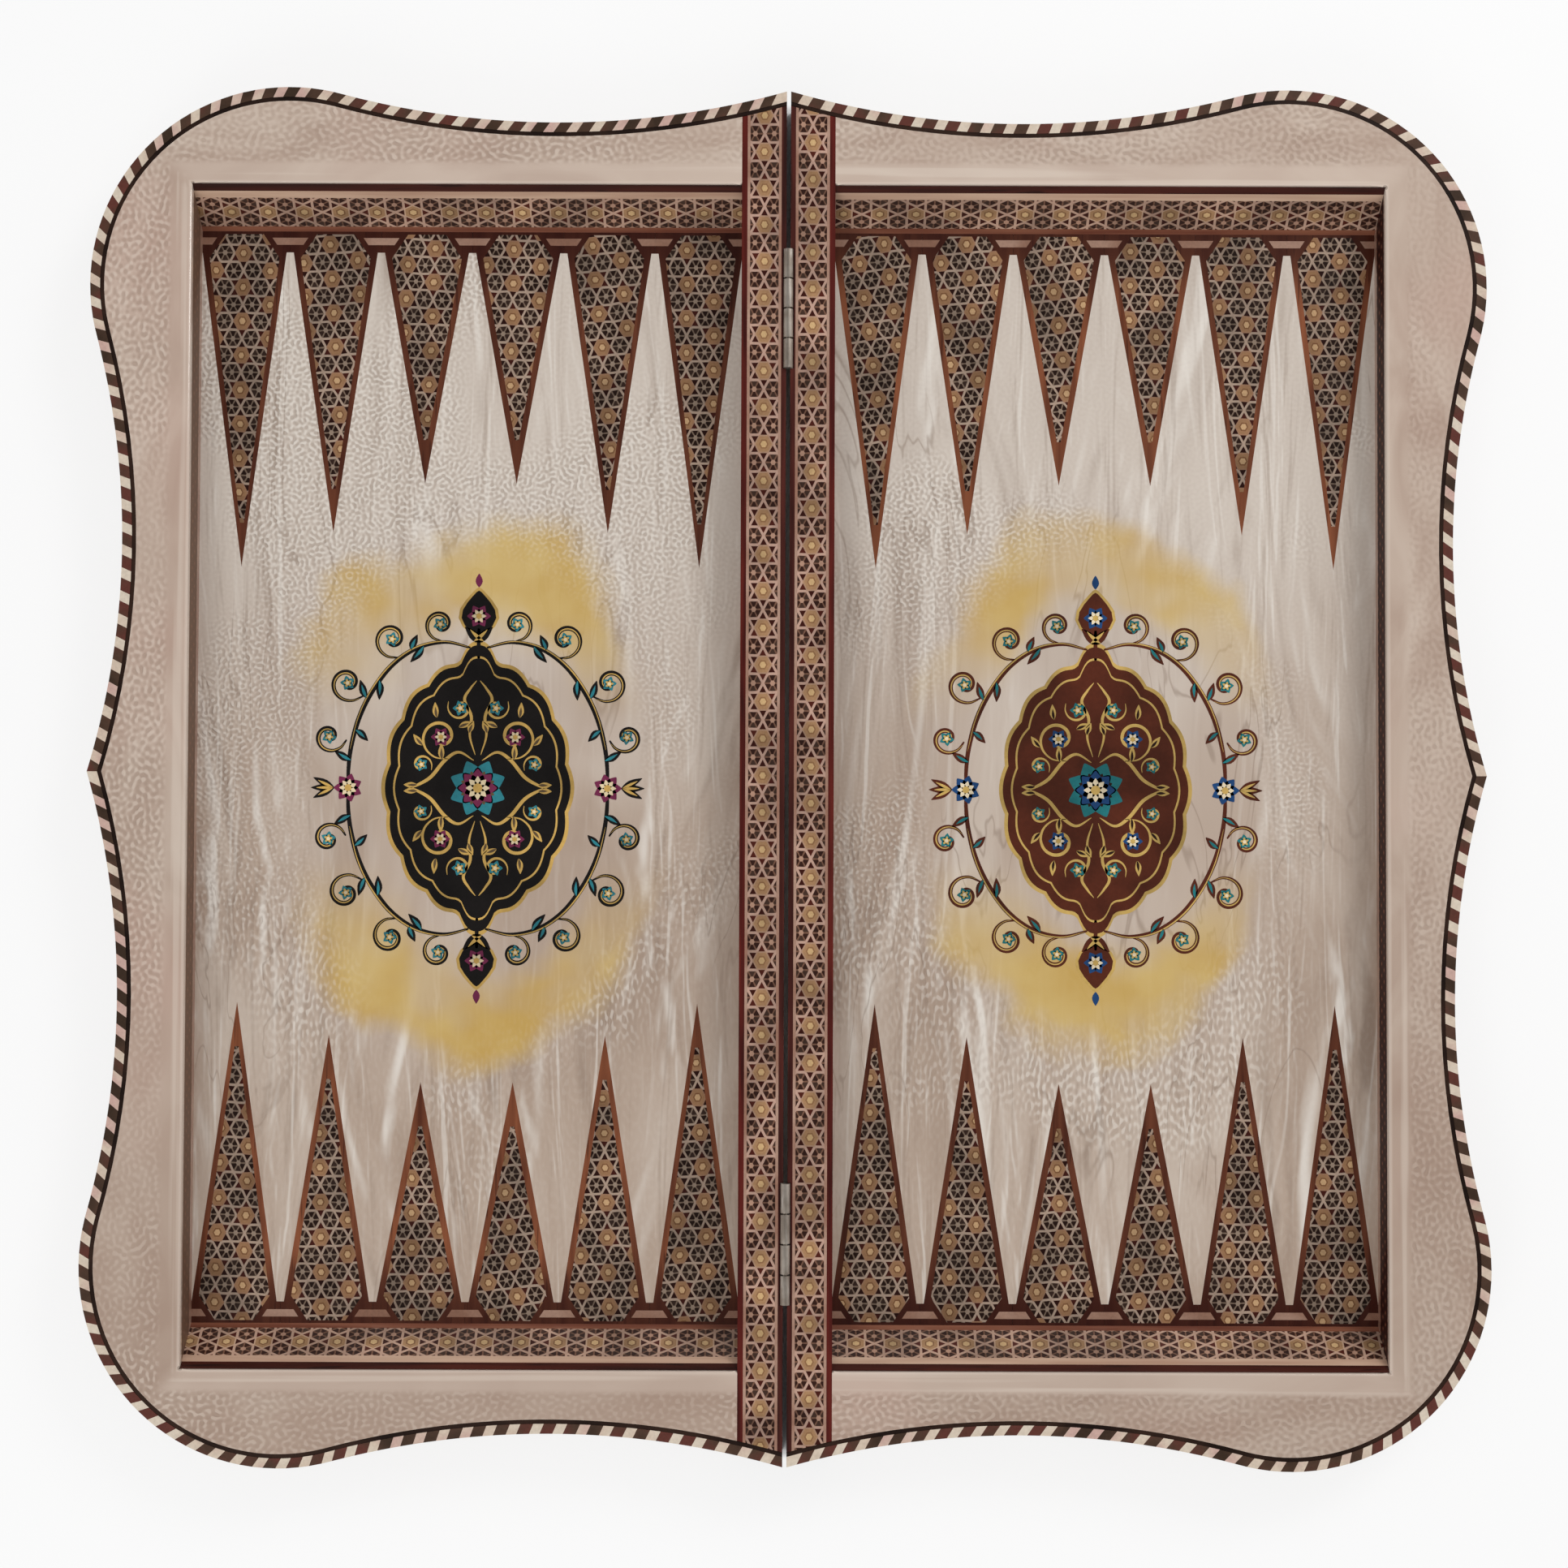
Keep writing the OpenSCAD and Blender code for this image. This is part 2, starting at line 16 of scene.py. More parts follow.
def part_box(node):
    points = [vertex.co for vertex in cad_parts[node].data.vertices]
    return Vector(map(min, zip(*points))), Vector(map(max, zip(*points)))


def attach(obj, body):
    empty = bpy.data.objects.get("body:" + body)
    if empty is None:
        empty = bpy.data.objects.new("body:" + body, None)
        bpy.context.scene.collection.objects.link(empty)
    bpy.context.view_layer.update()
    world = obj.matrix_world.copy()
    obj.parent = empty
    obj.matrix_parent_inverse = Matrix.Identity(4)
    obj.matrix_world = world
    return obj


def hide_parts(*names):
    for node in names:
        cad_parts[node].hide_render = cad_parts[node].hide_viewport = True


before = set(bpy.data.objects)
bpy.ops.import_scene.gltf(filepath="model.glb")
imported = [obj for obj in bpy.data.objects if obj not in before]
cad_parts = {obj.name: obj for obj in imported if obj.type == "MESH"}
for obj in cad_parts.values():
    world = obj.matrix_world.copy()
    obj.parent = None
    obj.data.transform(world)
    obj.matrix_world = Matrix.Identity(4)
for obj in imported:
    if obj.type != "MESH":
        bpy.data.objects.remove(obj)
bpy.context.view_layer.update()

MM = 0.001
SIDES = {"left": -1, "right": 1}
LEAVES = [f"{level}_{side}_leaf" for side in SIDES for level in ("upper", "lower")]
RIM_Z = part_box("left_top_rail")[1].z
FIELD_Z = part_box("left_field_panel")[1].z
TRAY_INNER_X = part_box("right_field_panel")[0].x
TRAY_OUTER_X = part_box("right_field_panel")[1].x
TRAY_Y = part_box("right_field_panel")[1].y
FOOT_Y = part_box("right_point_borders")[1].y

# Vertices nearer than this are one
SAME_SPOT = 1e-6

# Fixes the mosaic's random numbers and its drift
MOSAIC_SEED = 11

# Painted medallions: how far the middle lies from the fold and from the board's middle
MEDALLION_X = 112 * MM
MEDALLION_Y = -5 * MM

# Half width and half height of the oval that the ochre wash follows
WASH_X = 59 * MM
WASH_Y = 84 * MM

# Relief of the lacquer: wavelength on the frame, and depth
FRAME_RIPPLE = 2.3 * MM
RIPPLE_DEPTH = 0.22 * MM

# Wood grain: how much shorter a pattern is read along the fibres, and depths
GRAIN_SHARE = 0.06
GRAIN_DEPTH = 0.03 * MM
FINE_DEPTH = 0.02 * MM

WHITE = (1.0, 1.0, 1.0, 1.0)


def colour(tint):
    """A screen colour in the linear values that shaders take."""
    shares = [part / 255 for part in tint]
    return (*(s / 12.92 if s <= 0.04045 else ((s + 0.055) / 1.055) ** 2.4 for s in shares), 1.0)


def around(tint, low, high):
    """A screen colour with a darker and a lighter one."""
    return [[min(255, part * share) for part in tint] for share in (1.0, low, high)]


# Node trees


class Nodes:
    """A shader node tree. Its calls add nodes and give back the socket that holds the result."""

    def __init__(self, tree):
        self.tree = tree
        self.coordinates = self.add("TexCoord").outputs
        self.place = self.coordinates["Object"]

    def fill(self, node, inputs):
        """Set a node's inputs, or link those whose value is a socket."""
        for key, value in dict(inputs).items():
            if isinstance(value, bpy.types.NodeSocket):
                self.tree.links.new(value, node.inputs[key])
            else:
                node.inputs[key].default_value = value

    def add(self, kind, inputs=(), **settings):
        made = self.tree.nodes.new("ShaderNode" + kind)
        for name, value in settings.items():
            setattr(made, name, value)
        self.fill(made, inputs)
        return made

    def axes(self, place=None):
        made = self.add("SeparateXYZ", {"Vector": place or self.place})
        return [made.outputs[axis] for axis in "XYZ"]

    def maths(self, operation, first, second=0.0):
        made = self.add("Math", {0: first, 1: second}, operation=operation)
        return made.outputs["Value"]

    def plus(self, first, second):
        return self.maths("ADD", first, second)

    def minus(self, first, second):
        return self.maths("SUBTRACT", first, second)

    def times(self, first, second):
        return self.maths("MULTIPLY", first, second)

    def unsigned(self, value):
        return self.maths("ABSOLUTE", value)

    def reach(self, first, second):
        """Length of the way whose parts along two axes are given."""
        return self.maths("SQRT", self.plus(self.times(first, first), self.times(second, second)))

    def step(self, value, start, stop, low=0.0, high=1.0, curve="SMOOTHSTEP"):
        """Low up to the start, high beyond the stop and a slope between them."""
        inputs = {"Value": value, "From Min": start, "From Max": stop, "To Min": low, "To Max": high}
        return self.add("MapRange", inputs, interpolation_type=curve).outputs["Result"]

    def surface(self, output, share, first, second):
        """Lead two mixed shaders to the tree's output."""
        made = self.add("MixShader", {"Fac": share, 1: first, 2: second})
        self.fill(self.tree.nodes[output], {"Surface": made.outputs["Shader"]})


class Look(Nodes):
    """A procedural material, made of a base layer and a clear coat."""

    def __init__(self, name, roughness=0.4, coat=0.0, coat_roughness=0.06, metallic=0.0):
        self.material = bpy.data.materials.new(name)
        self.material.use_nodes = True
        super().__init__(self.material.node_tree)
        self.shader = self.tree.nodes["Principled BSDF"]
        shine = 0.5 if metallic == 1.0 else 0.12
        self.fill(self.shader, {"Roughness": roughness, "Metallic": metallic, "Specular IOR Level": shine,
                                "Coat Weight": coat, "Coat Roughness": coat_roughness})

    def stretched(self, x, y, shift=0.0):
        """Object coordinates times a number per axis. A pattern runs along the smallest."""
        if (x, y, shift) == (1.0, 1.0, 0.0):
            return self.place
        inputs = {"Vector": self.place, "Scale": (x, y, 1.0), "Location": (shift * x, 0, 0)}
        return self.add("Mapping", inputs).outputs["Vector"]

    def noise(self, scale, across=1.0, along=1.0, shift=0.0, detail=2.0, distortion=0.0):
        inputs = {"Vector": self.stretched(across, along, shift), "Scale": scale, "Detail": detail,
                  "Distortion": distortion}
        return self.add("TexNoise", inputs).outputs["Fac"]

    def slope(self, shift, *pattern, **settings):
        """Rise of a noise over a shift along x, for the lit and shaded sides of folds."""
        here, beside = [self.noise(*pattern, shift=start, **settings) for start in (0.0, shift)]
        return self.minus(beside, here)

    def worms(self, wavelength, across=1.0, along=1.0, kind="2D"):
        """Meandering ridges and furrows like an embossed leather grain, from 0 to 1."""
        inputs = {"Vector": self.stretched(across, along), "Scale": 0.6 / wavelength, "Frequency": 1.67,
                  "Anisotropy": 0.0}
        made = self.add("TexGabor", inputs, gabor_type=kind)
        return self.step(made.outputs["Value"], 0.30, 0.70)

    def blend(self, share, first, second):
        """A number from the first to the second as the share goes from 0 to 1."""
        return self.add("Mix", {0: share, 2: first, 3: second}).outputs[0]

    def mix(self, share, first, second, blend="MIX"):
        """A colour from the first to the second as the share goes from 0 to 1."""
        inputs = {0: share, 6: first, 7: second}
        return self.add("Mix", inputs, data_type="RGBA", blend_type=blend).outputs[2]

    def tones(self, value, *stops):
        """Screen colours at places from 0 to 1, given as (place, colour) pairs."""
        made = self.add("ValToRGB", {"Fac": value})
        elements = made.color_ramp.elements
        while len(elements) < len(stops):
            elements.new(1.0)
        for element, (place, tint) in zip(elements, stops):
            element.position = place
            element.color = colour(tint)
        return made.outputs["Color"]

    def toward(self, tint, target, share, amount):
        """A tint moved towards a screen colour, by a share times an amount."""
        return self.mix(self.times(share, amount), tint, colour(target))

    def grained(self, fibres, dark, light):
        return self.tones(fibres, (0.32, dark), (0.68, light))

    def pores(self, *pattern):
        return self.step(self.noise(*pattern, detail=1), 0.64, 0.72)

    def emboss(self, tint, worms, strength, ridge, dip):
        """Raise and tint worm-like ridges: the ridges turn lighter and the dips darker, partly the lacquer's
        own tone and partly painted highlight and painted shade. Ridge and dip each hold an amount and a
        screen colour.
        """
        for top, (amount, target) in ((1.0, ridge), (0.0, dip)):
            tint = self.toward(tint, target, self.times(self.step(worms, 0.5, top), strength), amount)
        self.relief(self.times(worms, strength), RIPPLE_DEPTH)
        return tint

    def relief(self, height, depth):
        """A bump of the base layer. The clear coat over it stays smooth."""
        made = self.add("Bump", {"Height": height, "Distance": depth})
        self.fill(self.shader, {"Normal": made.outputs["Normal"]})

    def paint(self, tint):
        self.fill(self.shader, {"Base Color": tint})
        return self.material

    def paint_grain(self, fibres, share, first, second):
        """Finish with fine fibres. A share leads from one pair of tones to another."""
        self.relief(fibres, FINE_DEPTH)
        return self.paint(self.mix(share, self.grained(fibres, *first), self.grained(fibres, *second)))


# Lacquers


def frame_lacquer():
    """Beige marbled lacquer. Its worm-like relief is drawn out along each rail and fades by the tray."""
    look = Look("frame_lacquer", roughness=0.34, coat=1.0)
    x, y, z = look.axes()
    beyond_x = look.minus(look.unsigned(x), TRAY_OUTER_X)
    beyond_y = look.minus(look.unsigned(y), TRAY_Y)
    from_tray = look.maths("MAXIMUM", beyond_x, beyond_y)
    on_end = look.step(look.minus(beyond_y, beyond_x), -6 * MM, 6 * MM)

    def along_rail(pattern, size, across, along, **settings):
        """A pattern drawn out along the side rails and along the end rails."""
        side, end = [pattern(size, *scales, **settings) for scales in ((across, along), (along, across))]
        return look.blend(on_end, side, end)

    clouds = along_rail(look.noise, 24, 2.2, 0.8, detail=4, distortion=0.8)
    tint = look.tones(clouds, (0.30, (176, 153, 138)), (0.46, (186, 165, 150)),
                      (0.60, (195, 176, 161)), (0.76, (202, 185, 171)))
    # Painted shade: the frame grows darker towards the bottom of the board
    painted_shade_low = look.step(look.plus(y, look.times(clouds, 120 * MM)), 220 * MM, -160 * MM)
    tint = look.toward(tint, (156, 132, 116), painted_shade_low, 0.42)
    pink = look.step(look.noise(9), 0.50, 0.68)
    tint = look.toward(tint, (196, 165, 151), pink, 0.40)
    on_top = look.step(z, RIM_Z - 1.2 * MM, RIM_Z - 0.4 * MM)
    worms = look.blend(on_top, look.worms(FRAME_RIPPLE, kind="3D"),
                       along_rail(look.worms, FRAME_RIPPLE, 1.0, 0.8))
    fade = look.step(look.noise(11, detail=1), 0.34, 0.58)
    clear = look.step(from_tray, 6.5 * MM, 9.5 * MM)
    strength = look.times(look.blend(fade, 0.35, 1.0), clear)
    # Painted highlight on the ridges, stronger on the left, and painted shade in the dips
    lit = look.blend(look.step(x, -60 * MM, 120 * MM), 0.38, 0.16)
    tint = look.emboss(tint, worms, strength, (lit, (222, 207, 193)), (0.36, (152, 129, 114)))
    # The strip beside the tray is smooth with long bright streaks, and lighter at the ends
    smooth = look.minus(1.0, clear)
    tint = look.toward(tint, (214, 196, 182), look.times(smooth, on_end), 0.35)
    streaks = look.step(along_rail(look.noise, 90, 3.0, 0.05), 0.54, 0.68)
    tint = look.toward(tint, (222, 208, 194), look.times(streaks, smooth), 0.35)
    # A painted highlight along the rounded edge over the tray
    edge = look.step(from_tray, 1.6 * MM, 0.6 * MM)
    return look.paint(look.toward(tint, (220, 204, 190), edge, 0.45))


def field_flow(look, y):
    """Soft clouds that run lengthwise and are lighter in the upper half, partly the lacquer's own tone and
    partly painted light.
    """
    flow = look.noise(8, 2.6, 0.9, detail=3, distortion=1.2)
    tint = look.tones(flow, (0.30, (168, 147, 131)), (0.45, (181, 161, 145)),
                      (0.58, (190, 172, 157)), (0.74, (200, 185, 171)))
    # Partly painted light: the upper half is lighter
    upper = look.step(look.plus(y, look.times(flow, 80 * MM)), 10 * MM, 150 * MM)
    return look.toward(tint, (216, 207, 197), upper, 0.62)


def field_folds(look, tint, round_way):
    """Lengthwise folds, broad and fine, with thin seams between them. Each fold has a painted highlight on
    its lit side and painted shade on its shaded side.
    """
    # The painted middle has only faint folds
    open_field = look.blend(look.step(round_way, 0.75, 1.15), 0.22, 1.0)
    # Painted highlight and painted shade on the two sides of each fold
    for shift, scale, across, along, light, dark in ((2.5 * MM, 8, 2.6, 0.7, 0.80, 0.60),
                                                     (0.8 * MM, 30, 3.0, 0.30, 0.45, 0.32)):
        rise = look.slope(shift, scale, across, along, detail=3, distortion=1.2)
        lit = look.times(look.step(rise, 0.01, 0.11), open_field)
        shaded = look.times(look.step(rise, -0.01, -0.12), open_field)
        tint = look.toward(tint, (232, 225, 216), lit, light)
        tint = look.toward(tint, (144, 124, 109), shaded, dark)
    drift = look.noise(13, 2.2, 0.45, detail=3, distortion=1.8)
    seam = look.step(look.unsigned(look.minus(drift, 0.5)), 0.014, 0.0)
    shown = look.step(look.noise(10, detail=1), 0.44, 0.60)
    return look.toward(tint, (142, 122, 107), look.times(seam, shown), 0.5)


def wash_share(look, round_way, along):
    """Strength of the ochre wash, a ragged ring round the medallion, open on both sides."""
    ragged = look.minus(look.noise(15, detail=4), 0.5)
    place = look.plus(round_way, look.times(ragged, 0.8))
    ring = look.times(look.step(place, 1.24, 1.06), look.step(place, 0.66, 0.90))
    ends = look.step(look.unsigned(along), 0.25, 0.80)
    mottle = look.blend(look.step(look.noise(26), 0.36, 0.58), 0.55, 1.0)
    return look.times(ring, look.times(ends, mottle))


def field_lacquer(side):
    """Pearly lacquer with lengthwise flow, worm-like relief and an ochre wash."""
    look = Look(f"{side}_pearl_lacquer", roughness=0.36, coat=1.0)
    x, y, _ = look.axes()
    # Distance from the medallion's middle, 1 on the oval that the wash follows
    across = look.maths("DIVIDE", look.minus(x, SIDES[side] * MEDALLION_X), WASH_X)
    along = look.maths("DIVIDE", look.minus(y, MEDALLION_Y), WASH_Y)
    round_way = look.reach(across, along)
    tint = field_folds(look, field_flow(look, y), round_way)
    wash = wash_share(look, round_way, along)
    ochre = look.tones(look.noise(40, detail=3), (0.35, (196, 160, 84)), (0.65, (206, 176, 108)))
    tint = look.mix(look.times(wash, 0.92), tint, ochre)
    # The relief comes in patches outside the oval, with more of them at the top of the left half
    away = look.step(round_way, 0.95, 1.25)
    above = look.step(y, 30 * MM, 110 * MM)
    more = {"left": 0.15, "right": 0.01}[side]
    chance = look.minus(look.noise(11), look.times(round_way, 0.2))
    chance = look.plus(chance, look.times(above, more))
    patches = look.step(chance, 0.17, 0.29)
    strength = look.times(away, look.blend(patches, 0.10, 1.0))
    strength = look.times(strength, look.blend(wash, 1.0, 0.5))
    below = look.step(y, 20 * MM, -90 * MM)
    worms = look.blend(below, look.worms(2.0 * MM), look.worms(1.9 * MM, 1.0, 0.5))
    # Painted highlight on the ridges, stronger in the upper part, and painted shade in the dips
    tint = look.emboss(tint, worms, strength, (look.blend(above, 0.42, 0.60), (230, 222, 212)),
                       (look.blend(above, 0.26, 0.34), (146, 126, 111)))
    return look.paint(tint)


# Woods, inlays and metal


def wood(name, dark, light, along="Y", grain=260.0, coat=0.6):
    """Straight-grained wood with pores, running along one axis."""
    look = Look(name, roughness=0.45, coat=coat, coat_roughness=0.12)
    scales = {"X": (GRAIN_SHARE, 1.0), "Y": (1.0, GRAIN_SHARE)}[along]
    fibres = look.noise(grain, *scales, detail=4, distortion=0.3)
    tint = look.grained(fibres, dark, light)
    broad = look.step(look.noise(grain / 9, *scales), 0.45, 0.75)
    tint = look.mix(broad, tint, look.mix(0.5, colour(dark), colour(light)))
    red, green, blue, alpha = colour(dark)
    pore_tint = (0.35 * red, 0.35 * green, 0.35 * blue, alpha)
    tint = look.mix(look.times(look.pores(grain * 3, *scales), 0.6), tint, pore_tint)
    look.relief(fibres, GRAIN_DEPTH)
    return look.paint(tint)


def border_wood():
    """Red-brown strips round the points, darker towards the heads."""
    look = Look("border_wood", roughness=0.42, coat=0.6, coat_roughness=0.12)
    x, y, _ = look.axes()
    fibres = look.noise(260, 1.0, GRAIN_SHARE, detail=4, distortion=0.3)
    dull = look.grained(fibres, (70, 32, 19), (104, 56, 36))
    warm = look.grained(fibres, (98, 50, 29), (144, 84, 54))
    # Warm in the top right and bottom left quarters of the board, dull in the others
    quarter = look.times(look.maths("SIGN", x), look.maths("SIGN", y))
    drift = look.step(look.noise(30, detail=1), 0.35, 0.65)
    warmth = look.times(look.step(quarter, -1.0, 1.0), look.blend(drift, 0.40, 1.0))
    tint = look.mix(warmth, dull, warm)
    tint = look.toward(tint, (44, 18, 11), look.pores(800, 1.0, GRAIN_SHARE), 0.5)
    near_head = look.step(look.unsigned(y), FOOT_Y - 30 * MM, FOOT_Y - 5 * MM)
    tint = look.toward(tint, (50, 13, 7), near_head, 0.78)
    look.relief(fibres, GRAIN_DEPTH)
    return look.paint(tint)


def string_wood():
    """Red string of the rails. The one at the fold is darker."""
    look = Look("string_wood", roughness=0.4, coat=0.8)
    from_fold = look.step(look.unsigned(look.axes()[0]), 6 * MM, 9 * MM)
    fibres = look.noise(420, 1.0, GRAIN_SHARE, detail=4)
    dark = ((48, 17, 13), (82, 34, 27))
    return look.paint_grain(fibres, from_fold, dark, ((58, 14, 10), (100, 30, 22)))


def ramp_line_wood():
    """Wood lines of the ramps, redder along the foot and pale along the top."""
    look = Look("ramp_line_wood", roughness=0.42, coat=0.4)
    height = look.step(look.axes()[2], FIELD_Z + 5 * MM, FIELD_Z + 9 * MM)
    fibres = look.noise(300, GRAIN_SHARE, 1.0, detail=3)
    red = ((104, 54, 38), (140, 88, 66))
    return look.paint_grain(fibres, height, red, ((180, 144, 122), (206, 174, 150)))


def inlay(name, base, low, high, scale=900.0, coat=0.7, metallic=0.0):
    """A small inlaid piece whose tone drifts from place to place."""
    look = Look(name, roughness=0.35, coat=coat, metallic=metallic)
    tint = look.tones(look.noise(55, detail=1), (0.35, low), (0.50, base), (0.65, high))
    fine = look.noise(scale)
    shade = look.step(fine, 0.3, 0.7, low=0.86, curve="LINEAR")
    look.relief(fine, 0.01 * MM)
    return look.paint(look.mix(1.0, tint, shade, blend="MULTIPLY"))


def small_mosaic():
    """Fine mosaic of the tray walls: brass dots on a red ground, lighter and browner on the left wall, partly
    its own tone and partly painted light.
    """
    look = Look("wall_mosaic", roughness=0.55, coat=0.1)
    x, y, z = look.axes()
    pitch = 4.2 * MM
    row = pitch * math.sqrt(3) / 2
    spots = []
    for half in (0.0, 0.5):
        shifted = [look.plus(y, half * pitch), look.plus(z, 2 * half * row - FIELD_Z)]
        wrapped = [look.add("Math", {0: place, 1: size / 2, 2: -size / 2}, operation="WRAP").outputs["Value"]
                   for place, size in zip(shifted, (pitch, 2 * row))]
        spots.append(look.reach(*wrapped))
    reach = look.maths("DIVIDE", look.maths("MINIMUM", *spots), pitch)
    ragged = look.noise(700, detail=1)
    reach = look.plus(reach, look.times(look.minus(ragged, 0.5), 0.10))
    tint = look.tones(reach, (0.10, (122, 78, 58)), (0.13, (86, 45, 33)), (0.19, (78, 38, 28)),
                      (0.22, (52, 18, 13)), (0.60, (38, 12, 8)))
    # The left wall is lighter than the right, partly its own tone and partly painted light
    left_tone_and_light = look.step(x, 1 * MM, -1 * MM)
    look.relief(ragged, 0.01 * MM)
    return look.paint(look.toward(tint, (138, 108, 88), left_tone_and_light, 0.55))


def worn_steel():
    """Worn satin metal of the hinges with fine lengthwise scratches."""
    look = Look("hinge_metal", roughness=0.58, metallic=1.0)
    scratches = look.noise(900, 1.0, 0.12, detail=3)
    stains = look.noise(160, detail=3)
    tint = look.tones(stains, (0.35, (164, 152, 140)), (0.6, (192, 182, 171)))
    tint = look.mix(look.step(scratches, 0.55, 0.72), tint, colour((204, 196, 187)))
    look.relief(scratches, FINE_DEPTH)
    return look.paint(tint)


def new_object(name, data):
    """A new object in the scene."""
    made = bpy.data.objects.new(name, data)
    bpy.context.scene.collection.objects.link(made)
    return made


def new_mesh(name, bm):
    """A finished mesh from one that was being edited."""
    mesh = bpy.data.meshes.new(name)
    bm.to_mesh(mesh)
    bm.free()
    return mesh


def set_material(nodes, material):
    for name in nodes:
        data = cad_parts[name].data
        data.materials.clear()
        data.materials.append(material)


def finish_cad_nodes():
    """Give each CAD node its material."""
    pale_line = inlay("pale_line_wood", (164, 128, 110), (152, 112, 94), (178, 144, 126))
    metal = worn_steel()
    looks = {
        "point_borders": border_wood(),
        "rail_strings": string_wood(),
        "hinge_rail": wood("fold_rail_wood", (46, 20, 15), (74, 36, 27)),
        "end_ramps": wood("ramp_wood", (84, 50, 36), (116, 76, 56), along="X"),
        "ramp_edges": wood("ramp_edge_wood", (38, 11, 6), (76, 29, 19), along="X", coat=0.2),
        "base_panel": wood("panel_wood", (112, 74, 46), (150, 106, 70), grain=90),
        "chess_border": wood("chess_border_wood", (86, 30, 20), (118, 48, 32)),
        "dark_squares": wood("walnut", (58, 34, 22), (92, 58, 38), grain=120),
        "light_squares": wood("maple", (190, 152, 104), (216, 184, 138), grain=120),
        "rail_lines": pale_line,
        "wall_lines": pale_line,
        "ramp_lines": ramp_line_wood(),
        "head_segments": inlay("segment_wood", (152, 116, 98), (138, 100, 82), (168, 134, 116)),
        "trim_light": inlay("trim_pale_wood", (212, 193, 174), (202, 168, 157), (218, 204, 186)),
        "trim_dark": inlay("trim_dark_wood", (80, 58, 46), (62, 46, 35), (98, 54, 46)),
        "trim_line": inlay("black_line_wood", (42, 26, 19), (30, 18, 13), (52, 34, 25)),
        "wall_khatam": small_mosaic(),
        "hinge_screws": metal,
    }
    for side in SIDES:
        set_material([f"{side}_field_panel"], field_lacquer(side))
        for part, material in looks.items():
            set_material([f"{side}_{part}"], material)
    set_material(LEAVES + ["upper_pin", "lower_pin"], metal)


# Star mosaic


